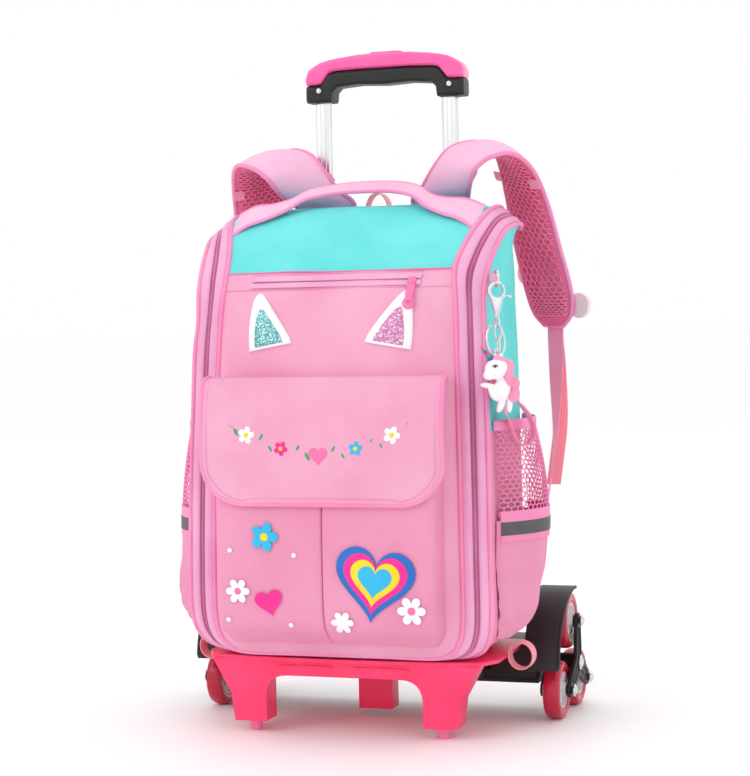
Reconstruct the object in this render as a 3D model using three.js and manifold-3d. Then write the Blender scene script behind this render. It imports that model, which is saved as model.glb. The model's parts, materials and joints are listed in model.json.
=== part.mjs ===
// A child's wheeled school backpack on a stair-climbing trolley, in millimetres, +Z up, front towards -Y.
// The bag is cloth: a hollow tub of padded walls, closed in front and on top by a zipped door.
import * as THREE from "three";
import { mergeVertices } from "three/addons/utils/BufferGeometryUtils.js";
import Module from "manifold-3d";

const wasm = await Module();
wasm.setup();

// Bag body
const bagHeight = 466; // floor of the bag to the crown of its top
const bagWidth = 328; // across the outer piping, where it is widest
const bagDepth = 184; // back panel to the front edge of the zip frame
const bagLift = 84; // floor of the bag above the ground
const bagBack = 22; // back panel ahead of the pull tubes
const sleeveWall = 4;
const backWall = 6;
const panelWall = 4;
const gussetWall = 2.5;
const seamWall = 1; // of a wall at its seam
const gussetSwell = 2; // how far the zip band stands proud between its pipings
const sideSwell = 5; // how far the sides bulge
const frontCrown = 24; // how far the front panel bulges
const topCrown = 6; // how far the top bulges
const backRadius = 24; // rounding between the sides and the back
const pipingRadius = 2.5;

// Front details
const zipStripHeight = 12;
const zipStripDrop = 4; // top seam to the zip strip
const zipStripSpan = 186;
const zipStripWall = 1.5;
const pullWidth = 9;
const pullLength = 34;
const pullWall = 2;
const earHeight = 60;
const earWidth = 48;
const earSpacing = 127; // between the middles of the two ears
const earFoot = 402; // lowest corner of an ear above the ground
const earWall = 2.5;
const insetScale = 0.7; // glitter inset against its ear
const insetWall = 1.2;
const pocketWidth = 234;
const pocketDepth = 17; // ahead of the bulging front panel
const pocketFoot = 101; // above the ground
const pocketTop = 364;
const pocketWall = 2;
const pleatDepth = 3;
const flapWidth = 260;
const flapTop = 375;
const flapBottom = 247;
const flapCorner = 46;
const flapWall = 3.5;
const flapSwell = 6; // how far the flap stands proud in its middle

// Side pockets
const sidePocketTop = 327;
const sidePocketSwell = 36;
const sidePocketWall = 2;
const meshFoot = 227; // lower edge of the netting
const stripeHeight = 13;
const stripeWall = 0.8;
const netColumns = 5;
const netRows = 3;
const netHole = 12; // across a hole of the netting, as modelled

// Handles and straps
const grabWidth = 27;
const grabReach = 135; // from the middle to the end of a sewn strip
const grabRise = 33;
const grabLean = 46; // how far the arch leans back
const grabWall = 5;
const strapWidth = 66;
const strapWall = 13;
const strapRoot = 66; // from the middle of the bag to the middle of a strap's root
const strapTipHeight = 421; // above the ground
const strapSpread = 112; // root to tip, across
const strapSwing = 51.7; // root to tip, back
const strapRise = 193.5; // tip to crest
const webWidth = 20;
const webWall = 1.6;
const tailWidth = 16;
const tailLength = 178;
const loopWidth = 17;
const hangLoopHeight = 40;
const hangLoopRise = 22; // above the crown of the bag
const clipDiameter = 28;
const clipWall = 5;
const clipSpread = 83; // between the middles of its two lobes
const clipTurn = 27; // as the strap that it lies behind

// Charm beside the zip band
const charmX = 173; // from the middle of the bag
const charmY = -191; // ahead of the pull tubes
const charmTurn = 37; // how far the charm is turned to the right, in degrees
const tabRootY = -166; // where its tab is sewn to the bag's side
const charmTop = 472; // middle of its ring above the ground
const charmWire = 1.3; // radius of the wire of its rings
const tabWidth = 10;
const tabWall = 1.2;
const tabOpening = 3.8; // half of the space in the folded tab
const ringRadius = 8;
const claspRadius = 10;
const claspWall = 4;
const claspLength = 36;
const claspBar = 3.4; // width of its hook
const eyeRadius = 5.5;
const splitWidth = 19;
const splitHeight = 34;
const linkWidth = 7;
const linkHeight = 16;
const linkWire = 0.9;
const ponyHeight = 66;
const ponyLoop = 3; // radius of its loop
const ponyLoopUp = 0.93; // middle of its loop, as a share of its height
const bandWidth = 14; // of the soft wrist band
const bandDrop = 90;
const bandWall = 2;

// Pull handle
const tubeSpacing = 148;
const tubeWidth = 19;
const tubeThickness = 14;
const sleeveTubeWidth = 26;
const sleeveTubeThickness = 19;
const tubeFit = 0.6; // running gap between the tubes
const sleeveTubeTop = 546;
const gripBottom = 676; // above the ground, at its second stop
const gripHeight = 52;
const gripHalf = 92;
const gripThickness = 30;
const gripSocket = 16; // how far the tubes reach into the grip
const buttonLength = 38;
const buttonWidth = 15;
const buttonRise = 1.5;
const buttonSeat = 6; // depth of its well below the cover
const buttonTravel = 4;

// Tray and legs
const trayHalf = 160;
const trayFront = 196; // ahead of the pull tubes
const trayWall = 4;
const skirtHeight = 20;
const legSpacing = 208;
const legWidth = 36;
const legDepth = 32;
const legTopWidth = 66;
const footDiameter = 15;
const legShoulder = 12; // leg's end above the ground
const midLegWidth = 38;
const midLegDepth = 24;
const midLegFoot = 9;
const midLegY = -86;

// Wheels
const wheelDiameter = 62;
const wheelWidth = 22;
const wheelSpacing = 80; // between neighbouring wheels of one star
const starY = -10;
const pinDiameter = 8;
const pinFit = 0.5;
const starPlate = 4;
const starLobe = 8.5; // radius of a star plate's ends
const starGap = 1.5; // between a wheel's hub and the star plates
const hubTube = 20;
const axleDiameter = 10;
const beamReach = 8; // of the axle beam beyond the tray's side
const beamDepth = 44;
const beamBottom = 32;
const fenderWall = 3;
const fenderGap = 3; // between the turning wheels and the fender
const fenderWidth = 38;
const starRoom = 5.8; // between a fender and the star beside it

const touch = 0.4; // gap between pieces that touch
const trolleyBack = 90; // pull tubes behind the middle of the footprint

const beamHalf = trayHalf + beamReach;
const fenderOuter = beamHalf + fenderWidth;
const wheelX = beamHalf + touch + fenderWall + starRoom + starPlate + starGap + wheelWidth / 2;

const V = (x, y, z) => new THREE.Vector3(x, y, z);
const mix = THREE.MathUtils.lerp;
const rad = THREE.MathUtils.degToRad;

// Materials
const finish = (color, roughness, metalness = 0) =>
  new THREE.MeshStandardMaterial({ color, roughness, metalness });
const pinkCloth = finish(0xf49cc4, 0.75);
const paleCloth = finish(0xfbb9d6, 0.75);
const turquoiseCloth = finish(0x6fe0dc, 0.75);
const coralMesh = finish(0xf0688f, 0.85);
const coralWebbing = finish(0xfb8896, 0.8);
const whiteCloth = finish(0xf6f2f4, 0.7);
const tealGlitter = finish(0x5fb3b5, 0.5);
const pinkGlitter = finish(0xe07fb4, 0.5);
const reflective = finish(0x6b696c, 0.4);
const hotPinkPlastic = finish(0xff3f77, 0.35);
const gripPink = finish(0xff5fa2, 0.3);
const blackPlastic = finish(0x1f1b1e, 0.5);
const clearPlastic = finish(0xf7d6de, 0.3);
const aluminium = finish(0xd7d8da, 0.3, 1);
const steel = finish(0xc8c8cc, 0.25, 1);
const wheelRed = finish(0xcf2348, 0.4);
const charmWhite = finish(0xf7eff2, 0.45);
const charmPink = finish(0xf285b0, 0.5);

const bag = new THREE.Group();
bag.position.y = trolleyBack;

function addPart(name, geometry, material, at = V(0, 0, 0), group = bag) {
  const part = new THREE.Mesh(geometry, material);
  part.name = name;
  part.position.copy(at);
  group.add(part);
  return part;
}

// A closed body from points and triangles, turned so that its faces point out.
function body(points, faces) {
  let volume = 0;
  const cross = V(0, 0, 0);
  for (const [a, b, c] of faces) {
    volume += points[a].dot(cross.crossVectors(points[b], points[c]));
  }
  const facing = volume < 0 ? faces.map(([a, b, c]) => [a, c, b]) : faces;
  const geometry = new THREE.BufferGeometry().setFromPoints(points);
  geometry.setIndex(facing.flat());
  geometry.computeVertexNormals();
  return geometry;
}

// A body lofted through rings of equal length, with a fan at each end unless the rings close.
// Opposite sides split along matching diagonals, so that a thin twisted strap keeps its thickness.
function loft(rings, closes = false) {
  const sides = rings[0].length;
  const points = rings.flat();
  const faces = [];
  const last = closes ? rings.length : rings.length - 1;
  for (let i = 0; i < last; i += 1) {
    const here = i * sides;
    const next = ((i + 1) % rings.length) * sides;
    for (let j = 0; j < sides; j += 1) {
      const k = (j + 1) % sides;
      const [a, b, c, d] = [here + j, next + j, next + k, here + k];
      if (j < sides / 2) faces.push([a, b, c], [a, c, d]);
      else faces.push([a, b, d], [b, c, d]);
    }
  }
  if (!closes) {
    for (const [ring, turn] of [[0, 1], [rings.length - 1, -1]]) {
      const middle = rings[ring].reduce((sum, p) => sum.add(p), V(0, 0, 0)).divideScalar(sides);
      const hub = points.push(middle) - 1;
      for (let j = 0; j < sides; j += 1) {
        const edge = [ring * sides + j, ring * sides + ((j + 1) % sides)];
        faces.push(turn > 0 ? [hub, edge[0], edge[1]] : [hub, edge[1], edge[0]]);
      }
    }
  }
  return body(points, faces);
}

// A sheet of cloth on a grid of points, its thickness on the side that faces a given point.
// Its edges that are sewn into a seam are thinner: seams names them.
function sheet(grid, thickness, toward, seams = {}) {
  const rows = grid.length;
  const columns = grid[0].length;
  const outer = grid.flat();
  const normals = [];
  for (let i = 0; i < rows; i += 1) {
    for (let j = 0; j < columns; j += 1) {
      const along = V(0, 0, 0).subVectors(grid[Math.min(i + 1, rows - 1)][j], grid[Math.max(i - 1, 0)][j]);
      const over = V(0, 0, 0).subVectors(grid[i][Math.min(j + 1, columns - 1)], grid[i][Math.max(j - 1, 0)]);
      normals.push(along.cross(over).normalize());
    }
  }
  const count = rows * columns;
  const middle = Math.floor(rows / 2) * columns + Math.floor(columns / 2);
  const side = Math.sign(normals[middle].dot(V(0, 0, 0).subVectors(toward, outer[middle])));
  const inner = outer.map((p, k) => {
    const [i, j] = [Math.floor(k / columns), k % columns];
    const sewn =
      (seams.sides && (j === 0 || j === columns - 1)) || (seams.side && j === 0) ||
      (seams.top && i === 0) || (seams.foot && i === rows - 1);
    return p.clone().addScaledVector(normals[k], side * (sewn ? seamWall : thickness));
  });
  const faces = [];
  const at = (i, j) => i * columns + j;
  for (let i = 0; i < rows - 1; i += 1) {
    for (let j = 0; j < columns - 1; j += 1) {
      const [a, b, c, d] = [at(i, j), at(i + 1, j), at(i + 1, j + 1), at(i, j + 1)];
      faces.push([a, b, c], [a, c, d]);
      faces.push([count + a, count + c, count + b], [count + a, count + d, count + c]);
    }
  }
  const rim = [];
  for (let j = 0; j < columns; j += 1) rim.push(at(0, j));
  for (let i = 1; i < rows; i += 1) rim.push(at(i, columns - 1));
  for (let j = columns - 2; j >= 0; j -= 1) rim.push(at(rows - 1, j));
  for (let i = rows - 2; i > 0; i -= 1) rim.push(at(i, 0));
  for (let k = 0; k < rim.length; k += 1) {
    const [p, q] = [rim[k], rim[(k + 1) % rim.length]];
    faces.push([p, q, count + q], [p, count + q, count + p]);
  }
  return body([...outer, ...inner], faces);
}

// Directions square to a path, carried along it without twisting.
function framesAlong(path, closes = false) {
  const count = path.length;
  const tangents = path.map((p, i) => {
    const before = closes ? path[(i + count - 1) % count] : path[Math.max(i - 1, 0)];
    const after = closes ? path[(i + 1) % count] : path[Math.min(i + 1, count - 1)];
    return V(0, 0, 0).subVectors(after, before).normalize();
  });
  const start = Math.abs(tangents[0].z) < 0.9 ? V(0, 0, 1) : V(1, 0, 0);
  let side = V(0, 0, 0).crossVectors(start, tangents[0]).normalize();
  return tangents.map((tangent) => {
    side = side.clone().addScaledVector(tangent, -side.dot(tangent)).normalize();
    return { tangent, side, up: V(0, 0, 0).crossVectors(tangent, side) };
  });
}

// A round tube through a list of points.
function tube(path, radius, sides = 5, closes = false) {
  const frames = framesAlong(path, closes);
  const rings = path.map((p, i) => {
    const ring = [];
    for (let k = 0; k < sides; k += 1) {
      const angle = (2 * Math.PI * k) / sides;
      ring.push(
        p
          .clone()
          .addScaledVector(frames[i].side, radius * Math.cos(angle))
          .addScaledVector(frames[i].up, radius * Math.sin(angle)),
      );
    }
    return ring;
  });
  return loft(rings, closes);
}

// A strap through stations, each with its middle, the direction across it, a width and a thickness.
// The edge column is the share of the thickness that its edges keep: 1 is flat webbing. A sheared
// station keeps its direction across as given, instead of squaring it to the run.
function strap(stations, closes = false) {
  const count = stations.length;
  const rings = stations.map(({ at, across, width, wall, edge = 1, sheared = false }, i) => {
    const before = stations[closes ? (i + count - 1) % count : Math.max(i - 1, 0)].at;
    const after = stations[closes ? (i + 1) % count : Math.min(i + 1, count - 1)].at;
    const tangent = V(0, 0, 0).subVectors(after, before).normalize();
    const wide = across.clone();
    if (!sheared) wide.addScaledVector(tangent, -across.dot(tangent)).normalize();
    const normal = V(0, 0, 0).crossVectors(tangent, wide).normalize();
    const place = (u, v) =>
      at.clone().addScaledVector(wide, (u * width) / 2).addScaledVector(normal, (v * wall) / 2);
    if (edge === 1) return [place(-1, -1), place(1, -1), place(1, 1), place(-1, 1)];
    return [
      place(-1, -edge), place(-0.8, -1), place(0.8, -1), place(1, -edge),
      place(1, edge), place(0.8, 1), place(-0.8, 1), place(-1, edge),
    ];
  });
  return loft(rings, closes);
}

// Booleans
function toSolid(geometry) {
  const bare = geometry.clone();
  for (const name of Object.keys(bare.attributes)) if (name !== "position") bare.deleteAttribute(name);
  const merged = mergeVertices(bare, 1e-4);
  const mesh = new wasm.Mesh({
    numProp: 3,
    vertProperties: new Float32Array(merged.attributes.position.array),
    triVerts: new Uint32Array(merged.index.array),
  });
  mesh.merge();
  return new wasm.Manifold(mesh);
}

function fromSolid(solid) {
  const mesh = solid.getMesh();
  const geometry = new THREE.BufferGeometry();
  geometry.setAttribute("position", new THREE.BufferAttribute(new Float32Array(mesh.vertProperties), 3));
  geometry.setIndex(new THREE.BufferAttribute(new Uint32Array(mesh.triVerts), 1));
  geometry.computeVertexNormals();
  return geometry;
}

const join = (...geometries) => fromSolid(geometries.map(toSolid).reduce((sum, next) => sum.add(next)));
const cut = (geometry, ...tools) =>
  fromSolid(tools.map(toSolid).reduce((left, tool) => left.subtract(tool), toSolid(geometry)));

// Trims what lies on a neighbour so that it seats on it with a small gap in the given direction
const seatedOn = (geometry, direction, ...neighbours) =>
  cut(geometry, ...neighbours.map((neighbour) => neighbour.clone().translate(...direction.toArray())));

// An outline in X and Z, given depth from y to y + depth.
function plate(shape, y, depth, curveSegments = 6) {
  const geometry = new THREE.ExtrudeGeometry(shape, { depth, bevelEnabled: false, curveSegments });
  geometry.rotateX(Math.PI / 2);
  geometry.translate(0, y + depth, 0);
  return geometry;
}

// An outline in Y and Z, given depth from x to x + depth.
function slab(shape, x, depth, curveSegments = 6) {
  const geometry = new THREE.ExtrudeGeometry(shape, { depth, bevelEnabled: false, curveSegments });
  geometry.rotateZ(Math.PI / 2);
  geometry.rotateY(Math.PI / 2);
  geometry.translate(x, 0, 0);
  return geometry;
}

function block(x0, x1, y0, y1, z0, z1) {
  const geometry = new THREE.BoxGeometry(x1 - x0, y1 - y0, z1 - z0);
  geometry.translate((x0 + x1) / 2, (y0 + y1) / 2, (z0 + z1) / 2);
  return geometry;
}

function barAlongX(x0, x1, y, z, radius, sides = 12) {
  const geometry = new THREE.CylinderGeometry(radius, radius, x1 - x0, sides);
  geometry.rotateZ(Math.PI / 2);
  geometry.translate((x0 + x1) / 2, y, z);
  return geometry;
}

function barAlongZ(x, y, z0, z1, lower, upper, sides = 12) {
  const geometry = new THREE.CylinderGeometry(upper, lower, z1 - z0, sides);
  geometry.rotateX(Math.PI / 2);
  geometry.translate(x, y, (z0 + z1) / 2);
  return geometry;
}

const mirrored = (point) => V(-point.x, point.y, point.z);

// The zip frame, from the back of the top, down one side, to the middle of the floor.
// Columns are shares of half the width, of the depth and of the height, for the inner piping,
// the outer piping and the back edge, then the way in from that edge, in degrees from level.
const frameRows = [
  // inX, inY, inZ, outX, outY, outZ, backX, backZ, turn
  [0.841, 0.043, 0.985, 0.963, 0.043, 0.951, 0.915, 0.955, 0],
  [0.878, 0.179, 0.998, 1.012, 0.196, 0.959, 0.915, 0.955, 0],
  [0.884, 0.359, 0.996, 1.018, 0.38, 0.955, 0.921, 0.936, 0],
  [0.872, 0.505, 0.981, 1.006, 0.543, 0.94, 0.927, 0.91, 0],
  [0.829, 0.62, 0.948, 0.988, 0.668, 0.906, 0.933, 0.878, 0],
  [0.787, 0.728, 0.906, 0.97, 0.772, 0.865, 0.939, 0.839, 0],
  [0.762, 0.832, 0.858, 0.957, 0.848, 0.813, 0.939, 0.79, 0],
  [0.78, 0.88, 0.785, 0.957, 0.864, 0.747, 0.945, 0.732, 0],
  [0.793, 0.913, 0.678, 0.97, 0.897, 0.678, 0.951, 0.667, 0],
  [0.805, 0.946, 0.528, 0.982, 0.924, 0.528, 0.957, 0.528, 0],
  [0.817, 0.973, 0.367, 0.994, 0.951, 0.367, 0.963, 0.367, 0],
  [0.823, 0.989, 0.217, 1.0, 0.967, 0.217, 0.963, 0.217, 0],
  [0.823, 0.989, 0.099, 1.0, 0.962, 0.099, 0.963, 0.099, 0],
  [0.799, 0.978, 0.047, 0.963, 0.924, 0.043, 0.915, 0.043, 30],
  [0.732, 0.962, 0.017, 0.878, 0.859, 0.013, 0.817, 0.013, 60],
  [0.622, 0.951, 0.006, 0.72, 0.799, 0, 0.671, 0, 90],
  [0.305, 0.951, 0.006, 0.329, 0.788, 0, 0.305, 0, 90],
  [0, 0.951, 0.006, 0, 0.788, 0, 0, 0, 90],
];
const seamRow = 6; // where the top panel is sewn to the front panel
const firstFullRow = 1; // first row whose side wall has a depth
const footRow = 15; // front panel's lower edge

const trayTop = bagLift - pipingRadius * Math.cos(rad(36)) - touch; // the bag stands on its piping
const beamTop = trayTop; // the axle beam is flush with the tray's deck

const acrossBag = (share) => (share * bagWidth) / 2;
const aheadOfBack = (share) => -bagBack - share * bagDepth;
const upBag = (share) => bagLift + share * bagHeight;

const rightStations = frameRows.map(([inX, inY, inZ, outX, outY, outZ, backX, backZ, turn]) => ({
  inner: V(acrossBag(inX), aheadOfBack(inY), upBag(inZ)),
  outer: V(acrossBag(outX), aheadOfBack(outY), upBag(outZ)),
  back: V(acrossBag(backX), -bagBack, upBag(backZ)),
  inward: V(-Math.cos(rad(turn)), 0, Math.sin(rad(turn))),
}));
const leftStations = rightStations
  .slice(0, -1)
  .reverse()
  .map(({ inner, outer, back, inward }) => ({
    inner: mirrored(inner),
    outer: mirrored(outer),
    back: mirrored(back),
    inward: mirrored(inward),
  }));
const stations = [...rightStations, ...leftStations];
const seamGap = pipingRadius + 2 * touch;
const bagMiddle = V(0, aheadOfBack(0.5), upBag(0.5));

function stepTowards(from, to, distance) {
  const step = V(0, 0, 0).subVectors(to, from);
  return from.clone().addScaledVector(step.normalize(), distance);
}

// Bag shell: sides, floor and back in one padded tub, open in front and on top
function bagShell() {
  const depths = [0, 0.5, 1];
  const arcs = [45, 90];
  const full = stations.slice(firstFullRow, stations.length - firstFullRow);
  const grid = full.map(({ outer, back, inward }) => {
    const corner = V(back.x, back.y - backRadius, back.z);
    const front = stepTowards(outer, corner, seamGap);
    const row = depths.map((share) =>
      front.clone().lerp(corner, share).addScaledVector(inward, sideSwell * inward.x * Math.sin(Math.PI * share)),
    );
    for (const angle of arcs) {
      const turned = corner.clone().addScaledVector(inward, backRadius * (1 - Math.cos(rad(angle))));
      turned.y += backRadius * Math.sin(rad(angle));
      row.push(turned);
    }
    return row;
  });
  const sleeve = sheet(grid, sleeveWall, bagMiddle, { side: true });
  const overlap = 2;
  const outline = full.map(({ back, inward }) => {
    const p = back.clone().addScaledVector(inward, backRadius - overlap);
    return new THREE.Vector2(p.x, p.z);
  });
  outline[0].x -= overlap;
  outline[outline.length - 1].x += overlap;
  const tub = join(sleeve, plate(new THREE.Shape(outline), -bagBack - backWall, backWall));
  return cut(tub, tube(stations.map(({ outer }) => outer), pipingRadius + touch));
}
const bagShellShape = bagShell();
addPart("bag_shell", bagShellShape, pinkCloth);

// Zip band between the two pipings, with the pipings themselves
function zipBand() {
  const grid = stations.map(({ inner, outer }) => {
    const near = stepTowards(inner, outer, seamGap);
    const far = stepTowards(outer, inner, seamGap);
    const middle = near.clone().lerp(far, 0.5);
    const away = V(0, 0, 0).subVectors(middle, bagMiddle).normalize();
    return [near, middle.addScaledVector(away, gussetSwell), far];
  });
  const band = sheet(grid, gussetWall, bagMiddle, { sides: true });
  return seatedOn(band, V(0, 0, touch), bagShellShape);
}
addPart("zip_band", zipBand(), paleCloth);
const innerRun = stations.map(({ inner }) => inner);
const innerPiping = tube(innerRun, pipingRadius);
addPart("piping_inner", innerPiping, pinkCloth);
addPart("piping_outer", tube(stations.map(({ outer }) => outer), pipingRadius), pinkCloth);

// Front and top panels, a grid between the left and right inner piping
const panelColumns = [-1, -0.75, -0.5, -0.25, 0, 0.25, 0.5, 0.75, 1];

function panelRow(at, crown, lift) {
  const half = at.x - seamGap;
  return panelColumns.map((share) => {
    const rise = 1 - share ** 4;
    return V(share * half, at.y - crown * rise, at.z + lift * rise);
  });
}

const frontRows = rightStations.slice(seamRow, footRow + 1).map(({ inner }) => inner);
const frontSwell = [0.1, 0.8, 1, 1, 1, 1, 0.95, 0.6, 0.25, 0.05]; // share of the crown in each row
const frontTable = frontRows.map((inner, i) => ({ at: inner, crown: frontCrown * frontSwell[i] }));

// The front panel's surface: how far ahead it is at a place, and its half width at a height
function frontAt(x, z) {
  let i = 0;
  while (i < frontTable.length - 2 && frontTable[i + 1].at.z > z) i += 1;
  const [upper, lower] = [frontTable[i], frontTable[i + 1]];
  const share = (upper.at.z - z) / (upper.at.z - lower.at.z);
  const half = mix(upper.at.x, lower.at.x, share) - seamGap;
  const across = Math.min(1, Math.abs(x) / half);
  const crown = mix(upper.crown, lower.crown, share);
  return mix(upper.at.y, lower.at.y, share) - crown * (1 - across ** 4);
}

function frontPanel() {
  const rows = frontTable.map(({ at, crown }, i) => {
    const place = at.clone();
    if (i === 0) place.z -= touch;
    if (i === frontTable.length - 1) place.z += 2 * seamGap;
    return panelRow(place, crown, 0);
  });
  const panel = sheet(rows, panelWall, bagMiddle, { sides: true, top: true, foot: true });
  return cut(panel, tube(innerRun, pipingRadius + touch));
}
const frontPanelShape = frontPanel();
addPart("front_panel", frontPanelShape, pinkCloth);
const ahead = V(0, -touch, 0);

function topPanel() {
  const rows = rightStations.slice(0, seamRow + 1).map(({ inner }, i) => {
    const share = i / seamRow;
    const place = inner.clone();
    if (i === seamRow) place.z += touch;
    const crown = mix(frontTable[0].crown * share, frontTable[0].crown, share);
    return panelRow(place, i === 0 ? 0 : crown, topCrown * Math.sin(Math.PI * Math.min(1, 0.25 + share * 0.75)));
  });
  const back = rows[0].map((p) => V(p.x, -bagBack, p.z - 8));
  return sheet([back, ...rows], panelWall, bagMiddle, { sides: true, foot: true });
}
const topPanelShape = topPanel();
addPart("top_panel", topPanelShape, turquoiseCloth);

// Moves a flat plate, drawn from the front, onto the front panel, its back a touch ahead of the cloth
function wrapOnFront(geometry, lift = touch + 0.1) {
  const position = geometry.attributes.position;
  for (let i = 0; i < position.count; i += 1) {
    const [x, y, z] = [position.getX(i), position.getY(i), position.getZ(i)];
    position.setY(i, frontAt(x, z) - lift + y);
  }
  geometry.computeVertexNormals();
  return geometry;
}

// Zip strip under the top seam, a strip with a slit for the teeth, and its puller
const seamHeight = frontTable[0].at.z;
const zipStripMiddle = seamHeight - zipStripDrop - zipStripHeight / 2;

function stripShape(length, height) {
  const shape = new THREE.Shape();
  shape.moveTo(-length / 2, -height / 2);
  for (const share of [-0.25, 0, 0.25, 0.5]) shape.lineTo(share * length, -height / 2);
  for (const share of [0.5, 0.25, 0, -0.25, -0.5]) shape.lineTo(share * length, height / 2);
  return shape;
}

function zipStrip() {
  const geometry = plate(stripShape(zipStripSpan, zipStripHeight), -zipStripWall, zipStripWall);
  geometry.translate(0, 0, zipStripMiddle);
  return seatedOn(wrapOnFront(geometry), ahead, frontPanelShape);
}
const zipStripShape = zipStrip();
addPart("zip_strip", zipStripShape, paleCloth);

function zipPull() {
  const ring = pullWidth * 0.72;
  const shape = new THREE.Shape();
  shape.moveTo(-pullWidth / 2, 0);
  shape.lineTo(-pullWidth / 2, -pullLength + 2 * ring);
  shape.absarc(0, -pullLength + ring, ring, Math.PI * 0.75, Math.PI * 2.25, false);
  shape.lineTo(pullWidth / 2, 0);
  const hole = new THREE.Path();
  hole.absarc(0, -pullLength + ring, ring * 0.5, 0, Math.PI * 2, true);
  shape.holes.push(hole);
  const geometry = plate(shape, -pullWall, pullWall, 8);
  const x = zipStripSpan / 2 - pullWidth;
  geometry.translate(x, 0, zipStripMiddle + zipStripHeight / 4);
  return seatedOn(wrapOnFront(geometry, zipStripWall + 5 * touch), ahead, zipStripShape, frontPanelShape);
}
addPart("zip_pull", zipPull(), pinkCloth);

// Ears: white cloth with a glitter inset, points in shares of the ear's width and height
const earOutline = [
  // across, up
  [-0.5, 0], [-0.52, 0.42], [-0.4, 0.8], [-0.3, 0.98], [-0.22, 1], [0.02, 0.82], [0.3, 0.52], [0.5, 0.14],
];

function earShape(scale) {
  const centre = [-0.05, 0.36];
  return new THREE.Shape(
    earOutline.map(
      ([across, up]) =>
        new THREE.Vector2(
          earWidth * (centre[0] + (across - centre[0]) * scale),
          earHeight * (centre[1] + (up - centre[1]) * scale - 0.06 * (1 - scale)),
        ),
    ),
  );
}

function ear(hand, scale, wall, lift, behind) {
  const shape = earShape(scale);
  const points = shape.getPoints().map((p) => new THREE.Vector2(hand * p.x, p.y));
  const geometry = plate(new THREE.Shape(hand > 0 ? points : points.reverse()), -wall, wall);
  geometry.translate((hand * -earSpacing) / 2, 0, earFoot);
  return seatedOn(wrapOnFront(geometry, lift), ahead, behind);
}
const onEar = earWall + touch;
for (const [hand, side, glitter] of [[1, "left", tealGlitter], [-1, "right", pinkGlitter]]) {
  const shape = ear(hand, 1, earWall, touch, frontPanelShape);
  addPart(`ear_${side}`, shape, whiteCloth);
  addPart(`ear_inset_${side}`, ear(hand, insetScale, insetWall, onEar, shape), glitter);
}

// Front pocket: an open-topped pouch, rows from the foot up in shares of its height and depth
const pocketRows = [
  // up, depth, width
  [0, 0.2, 0.92], [0.04, 0.62, 0.98], [0.1, 0.92, 1], [0.3, 1, 1], [0.6, 1, 1], [0.82, 0.95, 1], [1, 0.88, 1],
];
// Columns across the pouch, from one seam round to the other
const pocketColumns = [
  // across, forward
  [-1.02, 0], [-1.01, 0.5], [-1, 0.86], [-0.94, 1], [-0.5, 1.02], [-0.08, 1.03],
  [0, 0.92], [0.08, 1.03], [0.5, 1.02], [0.94, 1], [1, 0.86], [1.01, 0.5], [1.02, 0],
];

function pocketFrontAt(z) {
  const up = THREE.MathUtils.clamp((z - pocketFoot) / (pocketTop - pocketFoot), 0, 1);
  let i = 0;
  while (i < pocketRows.length - 2 && pocketRows[i + 1][0] < up) i += 1;
  const [low, high] = [pocketRows[i], pocketRows[i + 1]];
  const depth = mix(low[1], high[1], (up - low[0]) / (high[0] - low[0]));
  return frontAt(0, z) - touch - depth * pocketDepth * 1.03;
}

function frontPocket() {
  const grid = pocketRows.map(([up, depth, width]) => {
    const z = mix(pocketFoot, pocketTop, up);
    const reach = Math.max(depth * pocketDepth, pocketWall + touch);
    return pocketColumns.map(([across, forward]) => {
      const x = (across * width * pocketWidth) / 2;
      const fold = across === 0 ? pleatDepth / pocketDepth : 0;
      const base = frontAt(Math.sign(across) * Math.min(Math.abs(x), pocketWidth / 2), z);
      return V(x, mix(base, frontAt(0, z), Math.min(1, forward)) - touch - (forward - fold * depth) * reach, z);
    });
  });
  const pouch = sheet(grid, pocketWall, V(0, aheadOfBack(1), mix(pocketFoot, pocketTop, 0.5)));
  return seatedOn(pouch, ahead, frontPanelShape);
}
addPart("front_pocket", frontPocket(), pinkCloth);

// Flap over the pocket, from its seam on the front panel forward and down
const flapColumns = [-1, -0.94, -0.82, -0.65, -0.35, 0, 0.35, 0.65, 0.82, 0.94, 1];

function flap() {
  const over = pocketWall / 2 + touch + flapWall;
  const half = flapWidth / 2;
  const seam = flapColumns.map((share) => {
    const x = share * (half - 2 * pipingRadius - 3);
    return V(x, frontAt(x, flapTop) - touch, flapTop);
  });
  const knee = flapColumns.map((share) => V(share * half, pocketFrontAt(flapTop) - over + 7, flapTop + 1));
  const drop = [0.04, 0.3, 0.6, 0.85, 1];
  const face = drop.map((down) =>
    flapColumns.map((share) => {
      const x = share * half;
      const into = Math.max(0, Math.abs(x) - (half - flapCorner));
      const rise = flapCorner - Math.sqrt(Math.max(0, flapCorner ** 2 - into ** 2));
      const z = mix(flapTop, flapBottom + rise, down);
      return V(x, pocketFrontAt(Math.max(z, flapBottom)) - over - flapSwell * Math.sin(Math.PI * down), z);
    }),
  );
  const cover = sheet([seam, knee, ...face], flapWall, V(0, aheadOfBack(1), flapBottom));
  return seatedOn(cover, ahead, frontPanelShape, innerPiping);
}
addPart("flap", flap(), pinkCloth);

// Side panel surface: how far out it is at a place, for what is sewn on it
function sideAt(y, z) {
  const rows = rightStations.slice(seamRow - 1, footRow);
  let i = 0;
  while (i < rows.length - 2 && rows[i + 1].outer.z > z) i += 1;
  const share = (rows[i].outer.z - z) / (rows[i].outer.z - rows[i + 1].outer.z);
  const outer = rows[i].outer.clone().lerp(rows[i + 1].outer, share);
  const back = rows[i].back.clone().lerp(rows[i + 1].back, share);
  const end = back.y - backRadius;
  const along = THREE.MathUtils.clamp((y - outer.y) / (end - outer.y), 0, 1);
  return mix(outer.x, back.x, along) + sideSwell * (1 - Math.abs(2 * along - 1));
}

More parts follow.
